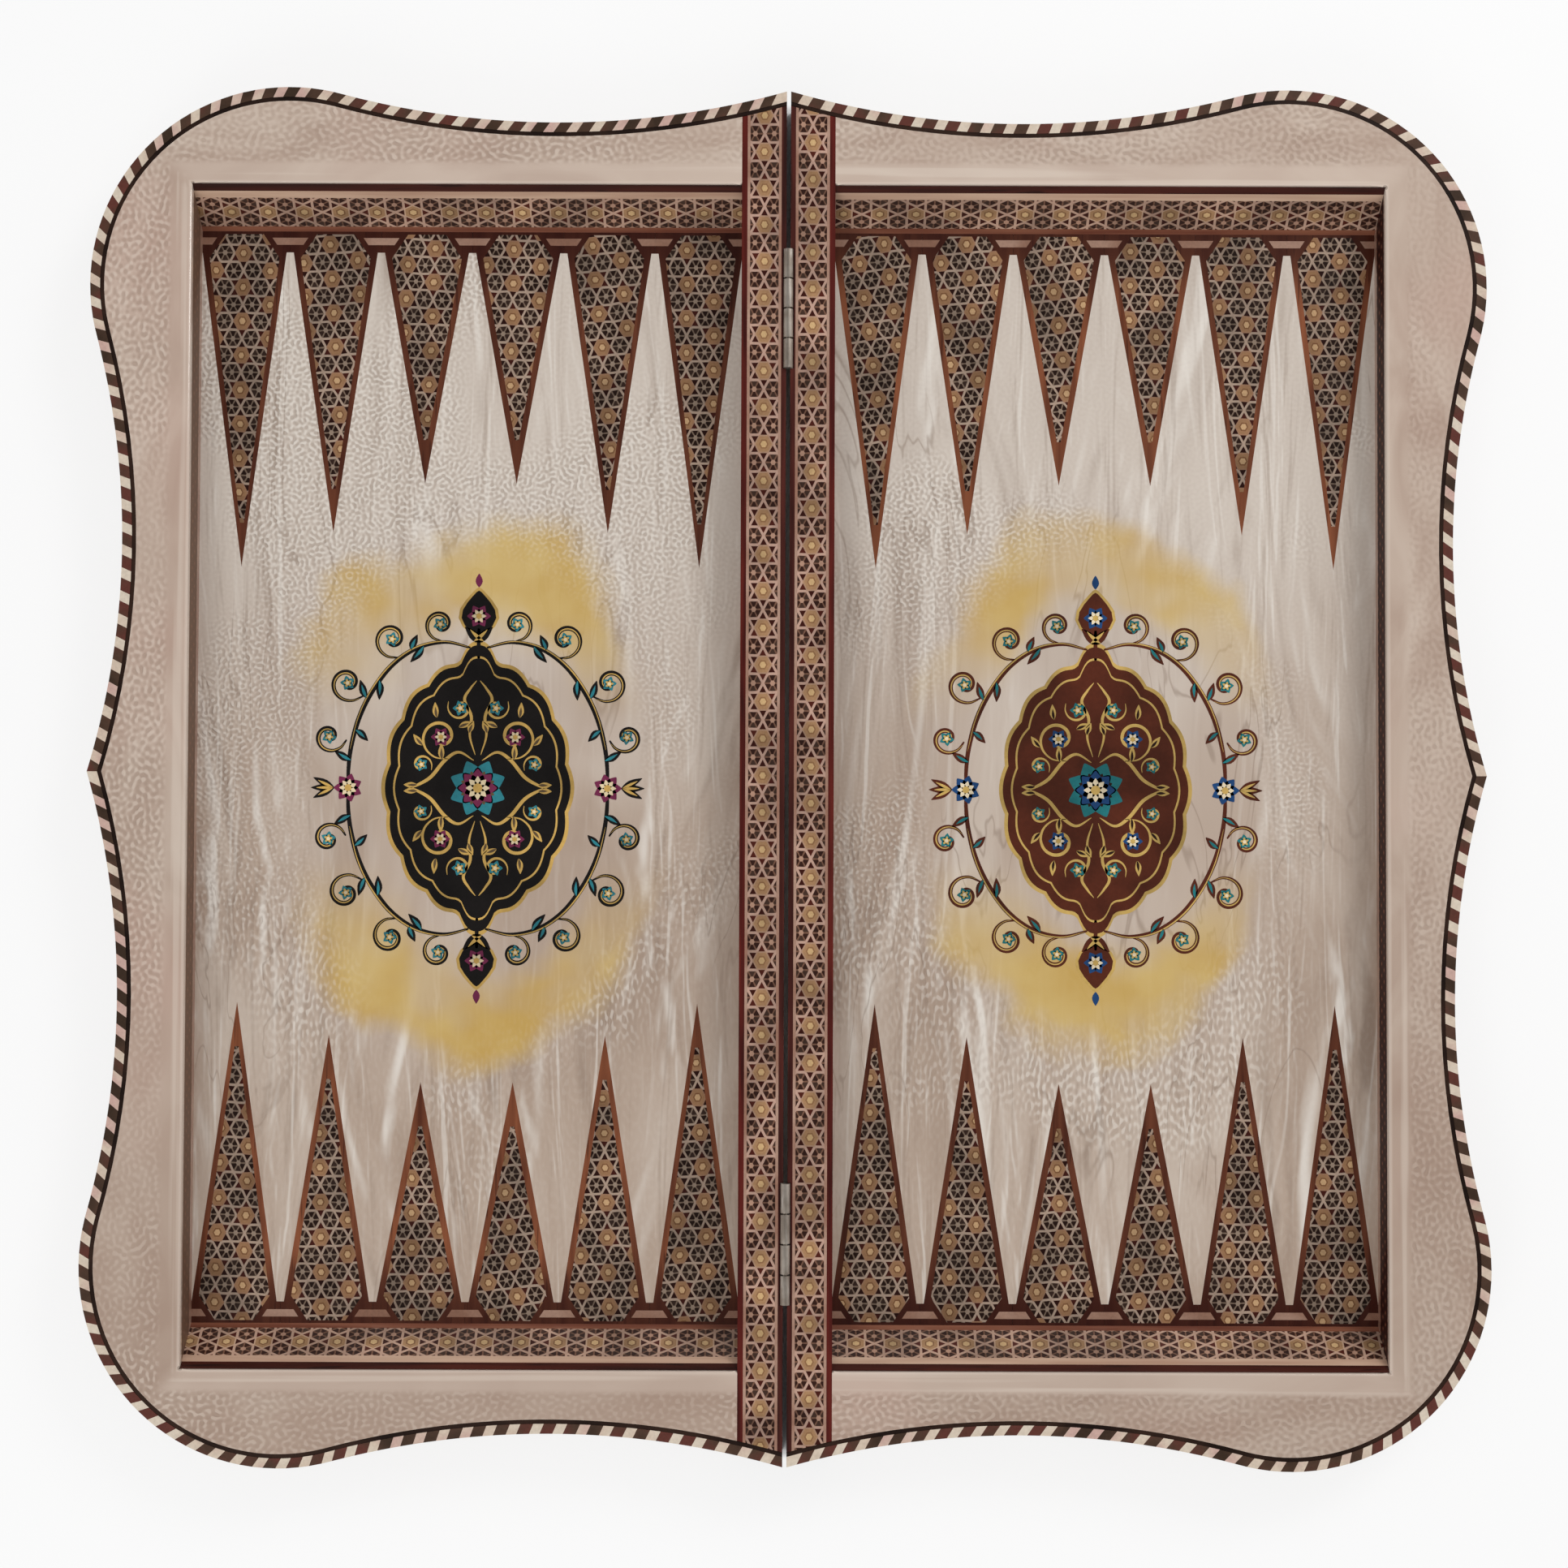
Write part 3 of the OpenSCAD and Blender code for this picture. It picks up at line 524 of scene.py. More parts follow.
class Mosaic:
    """A sheet of star mosaic in a net of hexagons and triangles.

    Every third hexagon is brass. With the six dark triangles that touch it, it makes a star, and
    bone lines part the stars from the dark hexagons. The stars of one row lie 2 * sqrt(3) sides
    apart along the first axis of the sheet.
    """

    SIDE = 3.8 * MM
    ROW = 2 * math.sqrt(3) * SIDE
    STAR_RINGS = (1.0, 0.84, 0.50, 0.34)
    HUB = 0.28
    DRIFT_SIZE = 6 * MM
    PLACES_PER_METRE = 1e6
    CUT_LIMIT = 1e-7
    KINDS = ["bone", "triangle", "red_triangle", "brass_rim", "brass_ring", "brass_core", "brass_dot",
             "dark_a", "dark_b", "spoke", "dark_dot", "back"]

    def __init__(self, middle, turn, stretch, wave, line, rng):
        self.bm = bmesh.new()
        self.spots = {}
        self.middle = middle
        self.turn = Matrix.Rotation(math.radians(turn), 2)
        self.stretch = stretch
        self.wave = wave
        self.line = line
        self.rng = rng
        self.seed = rng.uniform(0, 100)
        self.line_share = line / (math.sqrt(3) * self.SIDE)
        self.hexagon_share = 1 - self.line_share

    @staticmethod
    def ray(degrees, length):
        angle = math.radians(degrees)
        return Vector((math.cos(angle), math.sin(angle))) * length

    def laid(self, spot):
        """A place of the net, stretched and turned as the sheet is."""
        return self.turn @ Vector((spot.x * self.stretch[0], spot.y * self.stretch[1]))

    def vertex(self, spot):
        key = (round(spot.x * self.PLACES_PER_METRE), round(spot.y * self.PLACES_PER_METRE))
        if key not in self.spots:
            flat = self.middle + self.laid(spot)
            drift = noise.noise_vector(Vector((flat.x, flat.y, self.seed * MM)) / self.DRIFT_SIZE)
            flat = flat + drift.xy * self.wave
            self.spots[key] = self.bm.verts.new((flat.x, flat.y, 0))
        return self.spots[key]

    def tile(self, spots, kind):
        face = self.bm.faces.new([self.vertex(spot) for spot in spots])
        face.material_index = self.KINDS.index(kind)
        face.normal_update()
        if face.normal.z < 0:
            face.normal_flip()

    def corners(self, centre, share):
        return [centre + self.ray(30 + 60 * k, self.SIDE * share) for k in range(6)]

    def star_hexagon(self, centre):
        """Nested brass hexagons."""
        rings = [self.corners(centre, share) for share in self.STAR_RINGS]
        kinds = ("brass_rim", "brass_core", "brass_ring", "brass_dot")
        for outer, inner, kind in zip(rings, rings[1:], kinds):
            for k in range(6):
                after = (k + 1) % 6
                self.tile([outer[k], outer[after], inner[after], inner[k]], kind)
        self.tile(rings[-1], kinds[-1])

    def dark_hexagon(self, centre):
        """Six dark bits with thin spokes between them, round a small light hexagon."""
        outer = self.corners(centre, self.hexagon_share)
        inner = self.corners(centre, self.HUB)
        kinds = self.rng.choice((("dark_a", "dark_b"), ("dark_b", "dark_a"), ("dark_a", "dark_a")))

        def side(ring, k, trim):
            """One side of a ring, cut back at both ends."""
            first, second = ring[k], ring[(k + 1) % 6]
            return [first.lerp(second, trim), second.lerp(first, trim)]

        bits = [side(outer, k, 0.12) + side(inner, k, 0.24)[::-1] for k in range(6)]
        for k, bit in enumerate(bits):
            self.tile(bit, kinds[k % 2])
        for k in range(6):
            before = bits[k - 1]
            self.tile([before[1], outer[k], bits[k][0], bits[k][3], inner[k], before[2]], "spoke")
        self.tile([point for k in range(6) for point in (inner[k], bits[k][3], bits[k][2])], "dark_dot")

    def dart(self, middle, star_way):
        """A dark triangle, its star on one side and bone along the two others."""
        corner_reach = self.SIDE / math.sqrt(3)
        first, second, tip = (middle + self.ray(star_way + angle, corner_reach) for angle in (-60, 60, 180))
        small_first = first.lerp(second, self.line_share)
        small_second = second.lerp(first, self.line_share)
        small_tip = tip.lerp((first + second) / 2, 2 * self.line_share)
        kind = self.rng.choice(("triangle", "triangle", "red_triangle"))
        self.tile([small_first, small_second, small_tip], kind)
        for angle, start, small_start in ((120, second, small_second), (-120, first, small_first)):
            beyond = middle + self.ray(star_way + angle, 2 * corner_reach)
            self.tile([small_start, small_tip, beyond.lerp(tip, self.hexagon_share),
                       beyond.lerp(start, self.hexagon_share)], "bone")

    def meeting(self, centre, towards, star, other_star):
        """Bone where two hexagons and two triangles meet in one corner."""
        corner = centre + self.ray(towards, self.SIDE)
        beyond = centre + self.ray(towards, 2 * self.SIDE)
        if star or other_star:
            if other_star:
                centre, beyond, towards = beyond, centre, towards + 180
            beside = [corner.lerp(centre + self.ray(towards + angle, self.SIDE), self.line_share)
                      for angle in (-60, 60)]
            outer = beyond.lerp(corner, self.hexagon_share)
            self.tile([corner, beside[0], outer], "bone")
            self.tile([corner, outer, beside[1]], "bone")
        else:
            beside = [corner + self.ray(towards + angle, self.line) for angle in (-90, 90)]
            self.tile([centre.lerp(corner, self.hexagon_share), beside[0],
                       beyond.lerp(corner, self.hexagon_share), beside[1]], "bone")

    def cell(self, centre, kind):
        """One hexagon with its two triangles and three corners. Kind 0 is a star."""
        if kind == 0:
            self.star_hexagon(centre)
        else:
            self.dark_hexagon(centre)
        reach = 2 * self.SIDE / math.sqrt(3)
        for towards, ways in ((0, (180, -60, 60)), (60, (180, 60, -60))):
            self.dart(centre + self.ray(towards, reach), towards + ways[kind])
        for towards, other in ((30, kind + 1), (90, kind - 1), (150, kind - 2)):
            self.meeting(centre, towards, kind == 0, other % 3 == 0)

    def fill(self, reach_x, reach_y):
        """Lay cells until they pass both reaches from the middle."""
        first = self.ray(30, 2 * self.SIDE)
        second = self.ray(90, 2 * self.SIDE)
        step = 2 * self.SIDE * min(self.stretch)
        count = int((reach_x + reach_y) / step) + 4
        margin = 3 * self.SIDE
        for i in range(-count, count + 1):
            for j in range(-count, count + 1):
                centre = first * i + second * j
                flat = self.laid(centre)
                if abs(flat.x) < reach_x + margin and abs(flat.y) < reach_y + margin:
                    self.cell(centre, (i - j) % 3)

    def cut(self, outline):
        """Keep what lies inside a convex outline that runs anticlockwise."""
        for start, stop in zip(outline, outline[1:] + outline[:1]):
            along = stop - start
            everything = self.bm.verts[:] + self.bm.edges[:] + self.bm.faces[:]
            bmesh.ops.bisect_plane(self.bm, geom=everything, dist=self.CUT_LIMIT, clear_outer=True,
                                   plane_co=(start.x, start.y, 0), plane_no=(along.y, -along.x, 0))

    def thicken(self, depth):
        """Close the sheet into a slab."""
        rim = [edge for edge in self.bm.edges if edge.is_boundary]
        made = bmesh.ops.extrude_edge_only(self.bm, edges=rim)["geom"]
        lower = {item for item in made if isinstance(item, bmesh.types.BMVert)}
        for vert in lower:
            vert.co.z -= depth
        ring = [item for item in made if isinstance(item, bmesh.types.BMEdge) and set(item.verts) <= lower]
        sides = [item for item in made if isinstance(item, bmesh.types.BMFace)]
        for face in sides + bmesh.ops.edgeloop_fill(self.bm, edges=ring)["faces"]:
            face.material_index = self.KINDS.index("back")


def islands(bm):
    """Groups of faces that hang together, in an order that is the same on each run."""
    bm.faces.index_update()
    bm.verts.index_update()
    left = set(bm.faces)
    groups = []
    while left:
        group, todo = set(), [left.pop()]
        while todo:
            face = todo.pop()
            group.add(face)
            near = {other for edge in face.edges for other in edge.link_faces} & left
            left -= near
            todo.extend(near)
        groups.append(sorted(group, key=lambda face: face.index))
    return sorted(groups, key=lambda faces: min(tuple(v.co) for f in faces for v in f.verts))


def shown_side(group, eye):
    """The largest flat side of a solid that faces a point: its normal and its vertices."""
    areas = {}
    for face in group:
        if face.normal.dot(eye - face.calc_center_median()) > 0:
            key = tuple(round(part, 2) for part in face.normal)
            areas.setdefault(key, []).append(face)
    faces = max(areas.values(), key=lambda found: sum(face.calc_area() for face in found))
    shown = {vert for face in faces for vert in face.verts}
    return faces[0].normal.copy(), sorted(shown, key=lambda vert: vert.index)


def lay_flat(group, eye):
    """Axes of a solid's shown side, its outline and level in them and the solid's lowest level."""
    normal, shown = shown_side(group, eye)
    sizes = [max(v.co[axis] for v in shown) - min(v.co[axis] for v in shown) for axis in (0, 1)]
    along = Vector((1, 0, 0)) if sizes[0] > sizes[1] else Vector((0, 1, 0))
    base = Matrix((along, normal.cross(along), normal))
    flat = [base @ v.co for v in shown]
    points = [spot.xy for spot in flat]
    outline = [points[k] for k in geometry.convex_hull_2d(points)]
    lowest = min((base @ v.co).z for f in group for v in f.verts)
    return base.transposed(), outline, flat[0].z, lowest


def mosaic_sheet(outline, rng, loose):
    """A sheet that fills an outline. A loose one is turned and uneven."""
    low = Vector((min(p.x for p in outline), min(p.y for p in outline)))
    high = Vector((max(p.x for p in outline), max(p.y for p in outline)))
    row = Mosaic.ROW
    if loose:
        shift = Vector((rng.uniform(-row, row), rng.uniform(-row, row))) / 2
        turn, stretch, wave, line = rng.uniform(-3, 8), (0.95, 0.87), 0.40 * MM, 0.90 * MM
    else:
        shift = Vector((rng.uniform(-row, row) / 2, 0))
        turn, stretch, wave, line = 0, (1, 0.9), 0.14 * MM, 0.95 * MM
    sheet = Mosaic((low + high) / 2 + shift, turn, stretch, wave, line, rng)
    reach = (high - low) / 2 + Vector((row, row)) / 2
    sheet.fill(reach.x, reach.y)
    sheet.cut(outline)
    return sheet


def mosaic_slabs(node, eye, rng, loose):
    """One mesh of mosaic slabs in place of all the plain solids of a CAD node."""
    solids = bmesh.new()
    solids.from_mesh(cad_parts[node].data)
    bmesh.ops.remove_doubles(solids, verts=solids.verts, dist=SAME_SPOT)
    solids.normal_update()
    made = bmesh.new()
    for group in islands(solids):
        base, outline, level, lowest = lay_flat(group, eye)
        sheet = mosaic_sheet(outline, rng, loose)
        sheet.thicken(level - lowest)
        sheet.bm.transform(base.to_4x4() @ Matrix.Translation((0, 0, level)))
        patch = new_mesh("patch", sheet.bm)
        made.from_mesh(patch)
        bpy.data.meshes.remove(patch)
    solids.free()
    return new_mesh(node + "_mosaic", made)


def mosaic_materials(prefix, tints):
    """One material for each kind of mosaic piece, in the order of Mosaic.KINDS."""
    dark = {
        "triangle": (58, 22, 15), "red_triangle": (76, 30, 21), "dark_a": (52, 29, 22),
        "dark_b": (66, 46, 37), "spoke": (112, 80, 64), "dark_dot": (166, 130, 110), "back": (96, 66, 48),
    }
    materials = []
    for kind in Mosaic.KINDS:
        tint = {**dark, **tints}[kind]
        metallic = 0.25 if kind.startswith("brass") else 0.0
        materials.append(inlay(f"{prefix}_{kind}", *around(tint, 0.88, 1.10), scale=1400, coat=0.35,
                               metallic=metallic))
    return materials


def add_piece(name, mesh, body, materials, replaced=()):
    """Add a visual piece that rides a body and may take the place of CAD nodes."""
    piece = new_object(name, mesh)
    for material in materials:
        mesh.materials.append(material)
    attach(piece, body)
    if replaced:
        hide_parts(*replaced)


def add_mosaics():
    """Star mosaic on the fold rails, the ramps and the points."""
    rng = random.Random(MOSAIC_SEED)
    noise.seed_set(MOSAIC_SEED)
    sets = {
        "rail_khatam": {
            "bone": (176, 143, 127), "brass_rim": (180, 143, 118), "brass_ring": (152, 112, 78),
            "brass_core": (174, 134, 98), "brass_dot": (210, 174, 126)},
        "ramp_khatam": {
            "bone": (180, 147, 128), "brass_rim": (194, 160, 134), "brass_ring": (134, 98, 68),
            "brass_core": (166, 129, 94), "brass_dot": (206, 172, 126)},
        "point_plates": {
            "bone": (156, 135, 119), "brass_rim": (156, 118, 92), "brass_ring": (126, 88, 60),
            "brass_core": (154, 116, 84), "brass_dot": (196, 160, 120), "triangle": (42, 16, 11),
            "red_triangle": (62, 24, 17), "dark_a": (38, 22, 16), "dark_b": (52, 36, 29),
            "spoke": (112, 94, 80), "dark_dot": (136, 118, 103)},
    }
    for part, tints in sets.items():
        materials = mosaic_materials(part, tints)
        for side, sign in SIDES.items():
            eye = Vector((sign * (TRAY_INNER_X + TRAY_OUTER_X) / 2, 0, 1))
            node = f"{side}_{part}"
            mesh = mosaic_slabs(node, eye, rng, part == "point_plates")
            add_piece(node + "_mosaic", mesh, f"{side}_half", materials, [node])


# Painted medallions

FLOWER = ("bold", "cream", "gold")
BUD = ("soft", "gold", "cream")


class Painting:
    """Flat painted shapes, laid in thin levels on the lacquer. Sizes are in millimetres."""

    LEVEL = 0.02
    SUNK = 0.03
    ONE_WAY = [(1, 1)]
    UP_DOWN = [(1, 1), (1, -1)]
    LEFT_RIGHT = [(1, 1), (-1, 1)]
    FOUR_WAYS = [(1, 1), (-1, 1), (1, -1), (-1, -1)]

    def __init__(self, colours):
        self.bm = bmesh.new()
        self.colours = colours
        self.flips = self.ONE_WAY

    def shape(self, points, tint, level):
        """One closed outline, drawn once for each mirror image."""
        for flip_x, flip_y in self.flips:
            ring = [Vector((x * flip_x, y * flip_y)) for x, y in points]
            area = sum(a.x * b.y - b.x * a.y for a, b in zip(ring, ring[1:] + ring[:1]))
            if area < 0:
                ring.reverse()
            self.prism(ring, tint, level)

    def prism(self, ring, tint, level):
        top = level * self.LEVEL
        upper = [self.bm.verts.new((p.x, p.y, top)) for p in ring]
        lower = [self.bm.verts.new((p.x, p.y, -self.SUNK)) for p in ring]
        faces = [self.bm.faces.new(upper), self.bm.faces.new(lower[::-1])]
        for k in range(len(ring)):
            after = (k + 1) % len(ring)
            faces.append(self.bm.faces.new([upper[k], lower[k], lower[after], upper[after]]))
        for face in faces:
            face.material_index = self.colours.index(tint)

    def stroke(self, points, width, tint, level, ends=0.15):
        """A brush stroke, widest in its middle. ends is the share of its width at the ends."""
        path = smooth_path(points)
        left, right = [], []
        for k, spot in enumerate(path):
            before, after = path[max(k - 1, 0)], path[min(k + 1, len(path) - 1)]
            along = (after - before).normalized()
            across = Vector((-along.y, along.x))
            share = k / (len(path) - 1)
            half = width / 2 * (ends + (1 - ends) * math.sin(math.pi * share) ** 0.7)
            left.append(spot + across * half)
            right.append(spot - across * half)
        for k in range(len(path) - 1):
            quad = [left[k], right[k], right[k + 1], left[k + 1]]
            self.shape([tuple(p) for p in quad], tint, level)

    def petal(self, root, angle, length, width, tint, level, tip=0.0):
        """A leaf or petal from its root outwards. tip bends its end sideways."""
        points = []
        count = 18
        for k in range(count):
            turn = 2 * math.pi * k / count
            along = (1 - math.cos(turn)) / 2
            across = math.sin(turn) * width / 2 * (0.35 + 0.65 * math.sin(math.pi * along ** 0.8))
            points.append(rotated((along * length, across + tip * along * along), angle, root))
        self.shape(points, tint, level)

    def disc(self, centre, radius, tint, level):
        count = 20
        self.shape([rotated((radius, 0), 360 * k / count, centre) for k in range(count)], tint, level)

    def blossom(self, centre, radius, tints, level, count=6, turn=0.0):
        """Petals in two rings round a dot."""
        outer, inner, dot = tints
        for k in range(count):
            angle = turn + 360 * k / count
            self.petal(centre, angle, radius, radius * 0.72, outer, level)
            self.petal(centre, angle, radius * 0.62, radius * 0.34, inner, level + 1)
        self.disc(centre, radius * 0.24, dot, level + 2)

    def done(self, name, height, middle):
        """The painting as a mesh in metres, laid at its place."""
        self.bm.transform(Matrix.Translation((*middle, height)) @ Matrix.Scale(MM, 4))
        return new_mesh(name, self.bm)


def rotated(point, degrees, offset=(0, 0)):
    angle = math.radians(degrees)
    x, y = point
    return (offset[0] + x * math.cos(angle) - y * math.sin(angle),
            offset[1] + x * math.sin(angle) + y * math.cos(angle))


def smooth_path(points):
    """A curve through the points."""
    steps = 7
    spots = [Vector(p) for p in points]
    spots = [2 * spots[0] - spots[1]] + spots + [2 * spots[-1] - spots[-2]]
    path = []
    for a, b, c, d in zip(spots, spots[1:], spots[2:], spots[3:]):
        for k in range(steps):
            t = k / steps
            path.append(0.5 * (2 * b + (c - a) * t + (2 * a - 5 * b + 4 * c - d) * t * t
                               + (3 * b - a - 3 * c + d) * t ** 3))
    path.append(spots[-2])
    return path


def spiral(centre, start_r, stop_r, start, turns):
    """Points of a spiral from its outer end inwards."""
    count = 14
    points = []
    for k in range(count + 1):
        share = k / count
        radius = start_r + (stop_r - start_r) * share ** 0.8
        points.append(rotated((radius, 0), start + 360 * turns * share, centre))
    return points


def medallion_outline(width, height):
    """A pointed oval with small lobes, from its half width and half height."""
    count = 192
    points = []
    for k in range(count):
        angle = 2 * math.pi * k / count
        lobes = 1 + 0.045 * abs(math.cos(8 * angle))
        point = 0.13 * math.exp(-((abs(math.sin(angle)) - 1) / 0.018) ** 2)
        points.append((width * lobes * math.cos(angle), height * (lobes + point) * math.sin(angle)))
    return points


def paint_ground(art):
    """The lobed ground with two gold lines and the large blossom in its middle."""
    art.flips = art.ONE_WAY
    for level, (width, height) in enumerate(((33.5, 45.5), (32.2, 44.2), (29.4, 40.8), (28.7, 40.1)), 1):
        art.shape(medallion_outline(width, height), "gold" if level % 2 else "ground", level)
    art.blossom((0, 0), 10.5, ("soft", "shade", "gold"), 5, count=8, turn=22.5)
    art.blossom((0, 0), 7.0, ("bold", "cream", "gold"), 7, count=8)


def paint_scrolls(art):
    """Gold scrolls, leaves and blossoms on the ground."""
    art.flips = art.FOUR_WAYS
    art.stroke([(1.5, 10), (7, 13), (12, 10), (17, 4), (22, 1), (25, 0)], 1.3, "gold", 5)
    art.stroke(spiral((13.5, 18.5), 8.5, 1.4, -110, 1.35), 1.2, "gold", 5)
    art.stroke(spiral((6.5, 29), 5.0, 0.8, 30, -1.2), 1.0, "gold", 5)
    art.stroke([(1, 12), (3, 19), (2.5, 26), (5, 32), (3, 36), (0.6, 39)], 1.1, "gold", 5)
    art.stroke(spiral((20.5, 8.5), 4.2, 0.8, 210, -1.1), 0.9, "gold", 5)
    for root, angle, length in (((13, 10.2), 80, 6.0), ((20, 15.5), 40, 5.2), ((7, 22), 150, 5.4),
                                ((15, 25.5), 75, 5.6), ((22, 1.2), -10, 4.8), ((3.2, 20), 100, 4.6)):
        art.petal(root, angle, length, 2.3, "gold", 6, tip=0.8)
        art.petal(root, angle, length * 0.7, 1.0, "shade", 7, tip=0.5)
    art.blossom((13.5, 18.5), 3.6, FLOWER, 6)
    art.blossom((6.5, 29), 2.8, BUD, 6, count=5)
    art.blossom((20.5, 8.5), 2.5, BUD, 6, count=5)


def paint_pendants(art):
    """The drop over the medallion and the one under it."""
    art.flips = art.UP_DOWN
    art.stroke([(0, 47), (0, 50), (0, 54), (0, 58)], 1.4, "ground", 3, ends=0.6)
    art.petal((0, 54), 90, 19, 15, "gold", 2)
    art.petal((0, 54.8), 90, 17, 12.8, "ground", 3)
    art.blossom((0, 62.5), 4.3, FLOWER, 4)
    art.petal((0, 73), 90, 5, 2.6, "bold", 3)


def paint_wreath(art):
    """The stem round the medallion with its curls, buds and leaves."""
    art.flips = art.FOUR_WAYS
    art.petal((1.5, 53), 150, 8.5, 3.4, "ground", 3, tip=-1.6)
    art.petal((1.8, 53.4), 150, 6.4, 1.3, "gold", 4, tip=-1.2)
    art.stroke([(3, 51), (12, 53), (22, 51), (31, 45), (38, 36), (43, 26), (46, 15), (47, 5), (46.5, 0)],
               1.9, "ground", 3, ends=0.35)
    art.stroke([(4, 51.4), (13, 53.3), (23, 51), (32, 44.6), (39, 35.4), (43.6, 25.4), (46.4, 14)],
               0.5, "gold", 4)
    for centre, radius, start, turns in (((14, 59.5), 6.2, -95, 1.25), ((31.5, 54), 7.2, -110, 1.3),
                                         ((47.5, 38), 7.4, -140, 1.3), ((54, 18.5), 6.4, -170, 1.2)):
        art.stroke(spiral(centre, radius, 1.2, start, turns), 1.8, "ground", 3, ends=0.3)
        art.stroke(spiral(centre, radius - 0.2, 1.6, start + 12, turns * 0.8), 0.45, "gold", 4)
        art.blossom(centre, 2.7, BUD, 4, count=5, turn=start)
    for root, angle, length in (((20, 51.5), -60, 7.5), ((36, 39), -100, 7.0), ((44.5, 21), -150, 6.0),
                                ((24.5, 50), 100, 6.0), ((40.5, 32.5), 60, 7.0), ((46, 10), 20, 7.0)):
        art.petal(root, angle, length, 2.9, "ground", 3, tip=1.2)
        art.petal(root, angle, length * 0.74, 1.1, "soft", 4, tip=0.8)


def paint_side_flowers(art):
    """The flower with three leaves at each side of the wreath."""
    art.flips = art.LEFT_RIGHT
    art.blossom((47, 0), 5.2, FLOWER, 5, count=7)
    for angle in (-26, 0, 26):
        art.petal((52, 0), angle, 8.5, 2.6, "ground", 3)
        art.petal((52.4, 0), angle, 6.2, 1.0, "gold", 4)


def add_paintings():
    """A painted medallion on the floor of each tray."""
    palettes = {
        "left": {"ground": (26, 23, 22), "gold": (190, 154, 84), "cream": (214, 196, 160),
                 "shade": (92, 74, 52), "bold": (112, 40, 72), "soft": (44, 118, 128)},
        "right": {"ground": (82, 38, 24), "gold": (188, 156, 88), "cream": (216, 200, 170),
                  "shade": (44, 26, 20), "bold": (30, 66, 112), "soft": (34, 112, 116)},
    }
    for side, sign in SIDES.items():
        art = Painting(list(palettes[side]))
        for paint in (paint_ground, paint_scrolls, paint_pendants, paint_wreath, paint_side_flowers):
            paint(art)
        mesh = art.done(f"{side}_medallion", FIELD_Z, (sign * MEDALLION_X, MEDALLION_Y))
        materials = [inlay(f"{side}_paint_{name}", *around(tint, 0.86, 1.12), scale=700, coat=0.6)
                     for name, tint in palettes[side].items()]
        add_piece(f"{side}_medallion", mesh, f"{side}_half", materials)


# Edges


def ease_inner_edge(rail, axis, reach):
    """Round the edge over the tray, which lies on an axis at a distance from the middle."""
    near = 0.1 * MM
    over_tray = {vert for vert in rail.verts
                 if abs(abs(vert.co[axis]) - reach) < near and vert.co.z > RIM_Z - near}
    edges = [edge for edge in rail.edges if set(edge.verts) <= over_tray]
    made = bmesh.ops.bevel(rail, geom=edges, offset=0.9 * MM, segments=4, profile=0.5, affect="EDGES")
    rounded = set(made["faces"])
    for face in rail.faces:
        face.smooth = face in rounded


def add_rails():
    """Lacquered rails. Only the edge over the tray is eased, the trim covers the others."""
    lacquer = frame_lacquer()
    for side in SIDES:
        for part, axis, reach in (("outer_rail", 0, TRAY_OUTER_X), ("top_rail", 1, TRAY_Y),
                                  ("bottom_rail", 1, TRAY_Y)):
            node = f"{side}_{part}"
            rail = bmesh.new()
            rail.from_mesh(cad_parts[node].data)
            bmesh.ops.remove_doubles(rail, verts=rail.verts, dist=SAME_SPOT)
            ease_inner_edge(rail, axis, reach)
            mesh = new_mesh(node + "_lacquered", rail)
            add_piece(node + "_lacquered", mesh, f"{side}_half", [lacquer], [node])


def soften(nodes, width):
    """Round the sharp edges of CAD nodes that are seen from near."""
    for name in nodes:
        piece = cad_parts[name]
        weld = piece.modifiers.new("weld", "WELD")
        weld.merge_threshold = SAME_SPOT
        bevel = piece.modifiers.new("soft_edges", "BEVEL")
        bevel.width = width
        bevel.segments = 3
        bevel.limit_method = "ANGLE"
        bevel.angle_limit = math.radians(40)


# Surroundings


def add_camera():
    """A camera over the board at the photograph's angle."""
    data = bpy.data.cameras.new("photo_camera")
    data.lens = 58.09
    data.sensor_width = 36
    camera = new_object("photo_camera", data)
    camera.location = (-0.86 * MM, -31.07 * MM, RIM_Z + 0.9)
    camera.rotation_euler = (math.radians(1.745), 0, math.radians(0.202))
    bpy.context.scene.camera = camera


def seen_directly(nodes):
    """1 for rays from the camera and for those that mirror or glass sends on."""
    rays = nodes.add("LightPath").outputs
    sent_on = nodes.maths("MAXIMUM", rays["Is Glossy Ray"], rays["Is Transmission Ray"])
    return nodes.maths("MAXIMUM", rays["Is Camera Ray"], sent_on)


def beside_fold_gap(nodes):
    """0 on the floor under the gap between the halves, which looks dark, and 1 beside it."""
    x, y, _ = nodes.axes()
    across = nodes.step(nodes.unsigned(x), 1.2 * MM, 1.8 * MM, curve="LINEAR")
    beyond = nodes.step(nodes.unsigned(y), 246 * MM, 248 * MM, curve="LINEAR")
    return nodes.maths("MAXIMUM", across, beyond)


def floor_glow(nodes):
    """White share of the floor: part of it near the board, all of it far away."""
    from_middle = nodes.add("VectorMath", {0: nodes.place}, operation="LENGTH").outputs["Value"]
    return nodes.step(from_middle, 0.4, 1.4, low=0.75, high=1.0)


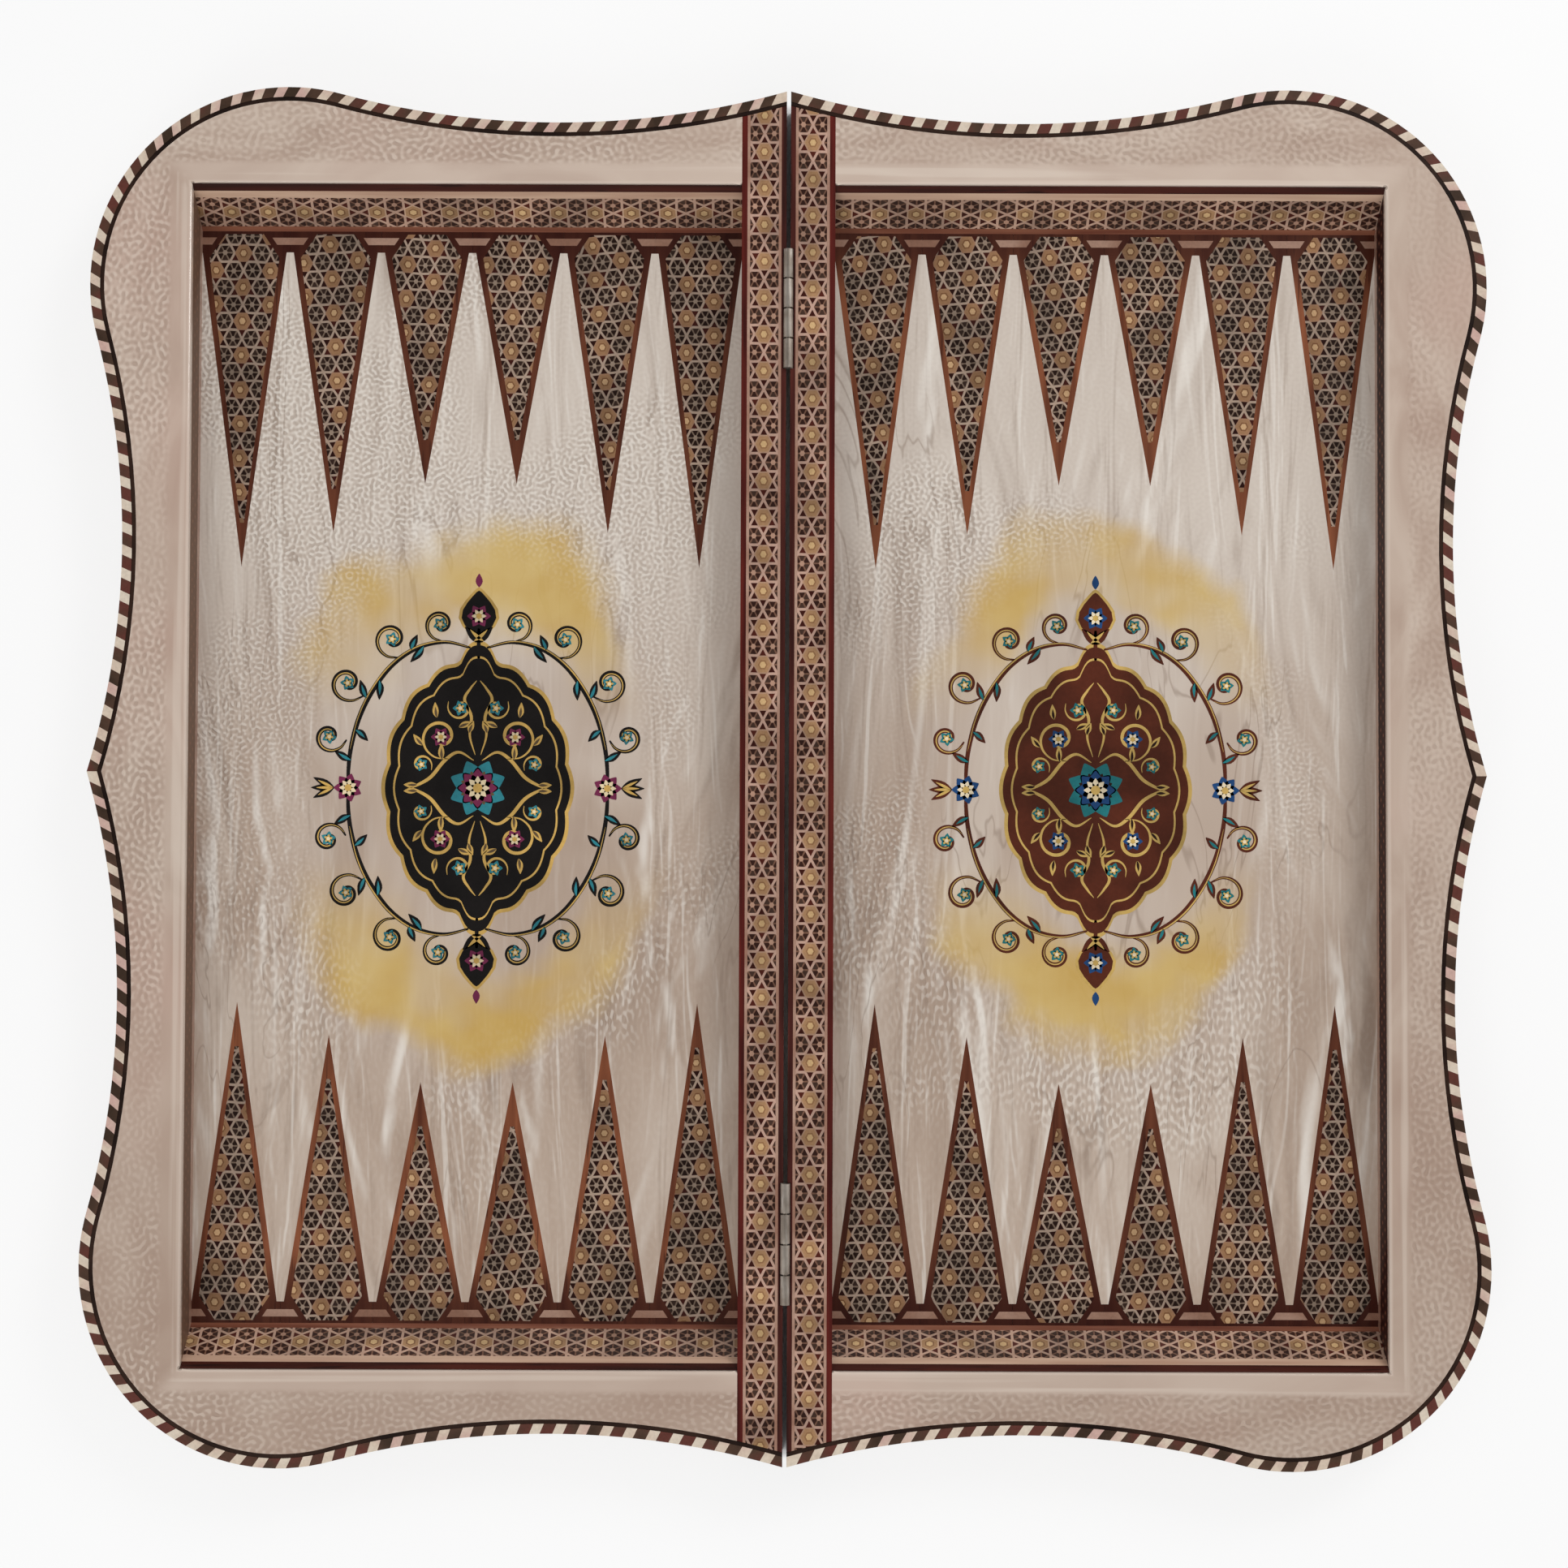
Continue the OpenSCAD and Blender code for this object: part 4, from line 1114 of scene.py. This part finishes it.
def floor_paper():
    """Matt pale paper that glows white where it is seen directly, but not in the fold's gap."""
    look = Look("floor_paper", roughness=0.9)
    look.fill(look.shader, {"Base Color": (0.84, 0.84, 0.84, 1.0), "Specular IOR Level": 0.1})
    glow = look.add("Emission", {"Color": WHITE})
    share = look.times(look.times(seen_directly(look), floor_glow(look)), beside_fold_gap(look))
    look.surface("Material Output", share, look.shader.outputs["BSDF"], glow.outputs["Emission"])
    return look.material


def add_floor():
    """A pale floor that reads as white and keeps a soft shadow."""
    data = bpy.data.meshes.new("floor")
    reach, level = 4.0, -0.2 * MM
    corners = [(x * reach, y * reach, level) for x, y in ((-1, -1), (1, -1), (1, 1), (-1, 1))]
    data.from_pydata(corners, [], [(0, 1, 2, 3)])
    data.materials.append(floor_paper())
    floor = new_object("floor", data)


def add_world():
    """Even light and a white backdrop. Mirrored, it is white at the horizon and dim overhead."""
    world = bpy.data.worlds.new("studio")
    bpy.context.scene.world = world
    world.use_nodes = True
    nodes = Nodes(world.node_tree)
    sky = nodes.tree.nodes["Background"]
    nodes.fill(sky, {"Color": WHITE, "Strength": 0.72})
    height = nodes.axes(nodes.coordinates["Generated"])[2]
    dome = nodes.step(height, 0.35, 0.90, low=0.8, high=0.06)
    direct = nodes.add("LightPath").outputs["Is Camera Ray"]
    strength = nodes.maths("MAXIMUM", dome, direct)
    seen = nodes.add("Background", {"Color": WHITE, "Strength": strength})
    nodes.surface("World Output", seen_directly(nodes), sky.outputs["Background"], seen.outputs["Background"])


def add_lamp(name, place, size, power):
    """A square soft lamp that faces the board's middle."""
    data = bpy.data.lights.new(name, "AREA")
    data.size = size
    data.energy = power
    lamp = new_object(name, data)
    lamp.location = place
    lamp.rotation_euler = (-Vector(place)).to_track_quat("-Z", "Y").to_euler()


def add_lights():
    """The sky with a key lamp at the top right and a weaker one at the bottom left."""
    add_world()
    add_lamp("key_lamp", (0.9, 1.0, 1.15), 0.6, 9.0)
    add_lamp("fill_lamp", (-0.6, -1.2, 1.25), 0.7, 5.8)


bpy.context.scene.view_settings.view_transform = "Standard"
add_camera()
add_floor()
add_lights()
finish_cad_nodes()
soften(LEAVES, 0.2 * MM)
add_rails()
add_mosaics()
add_paintings()
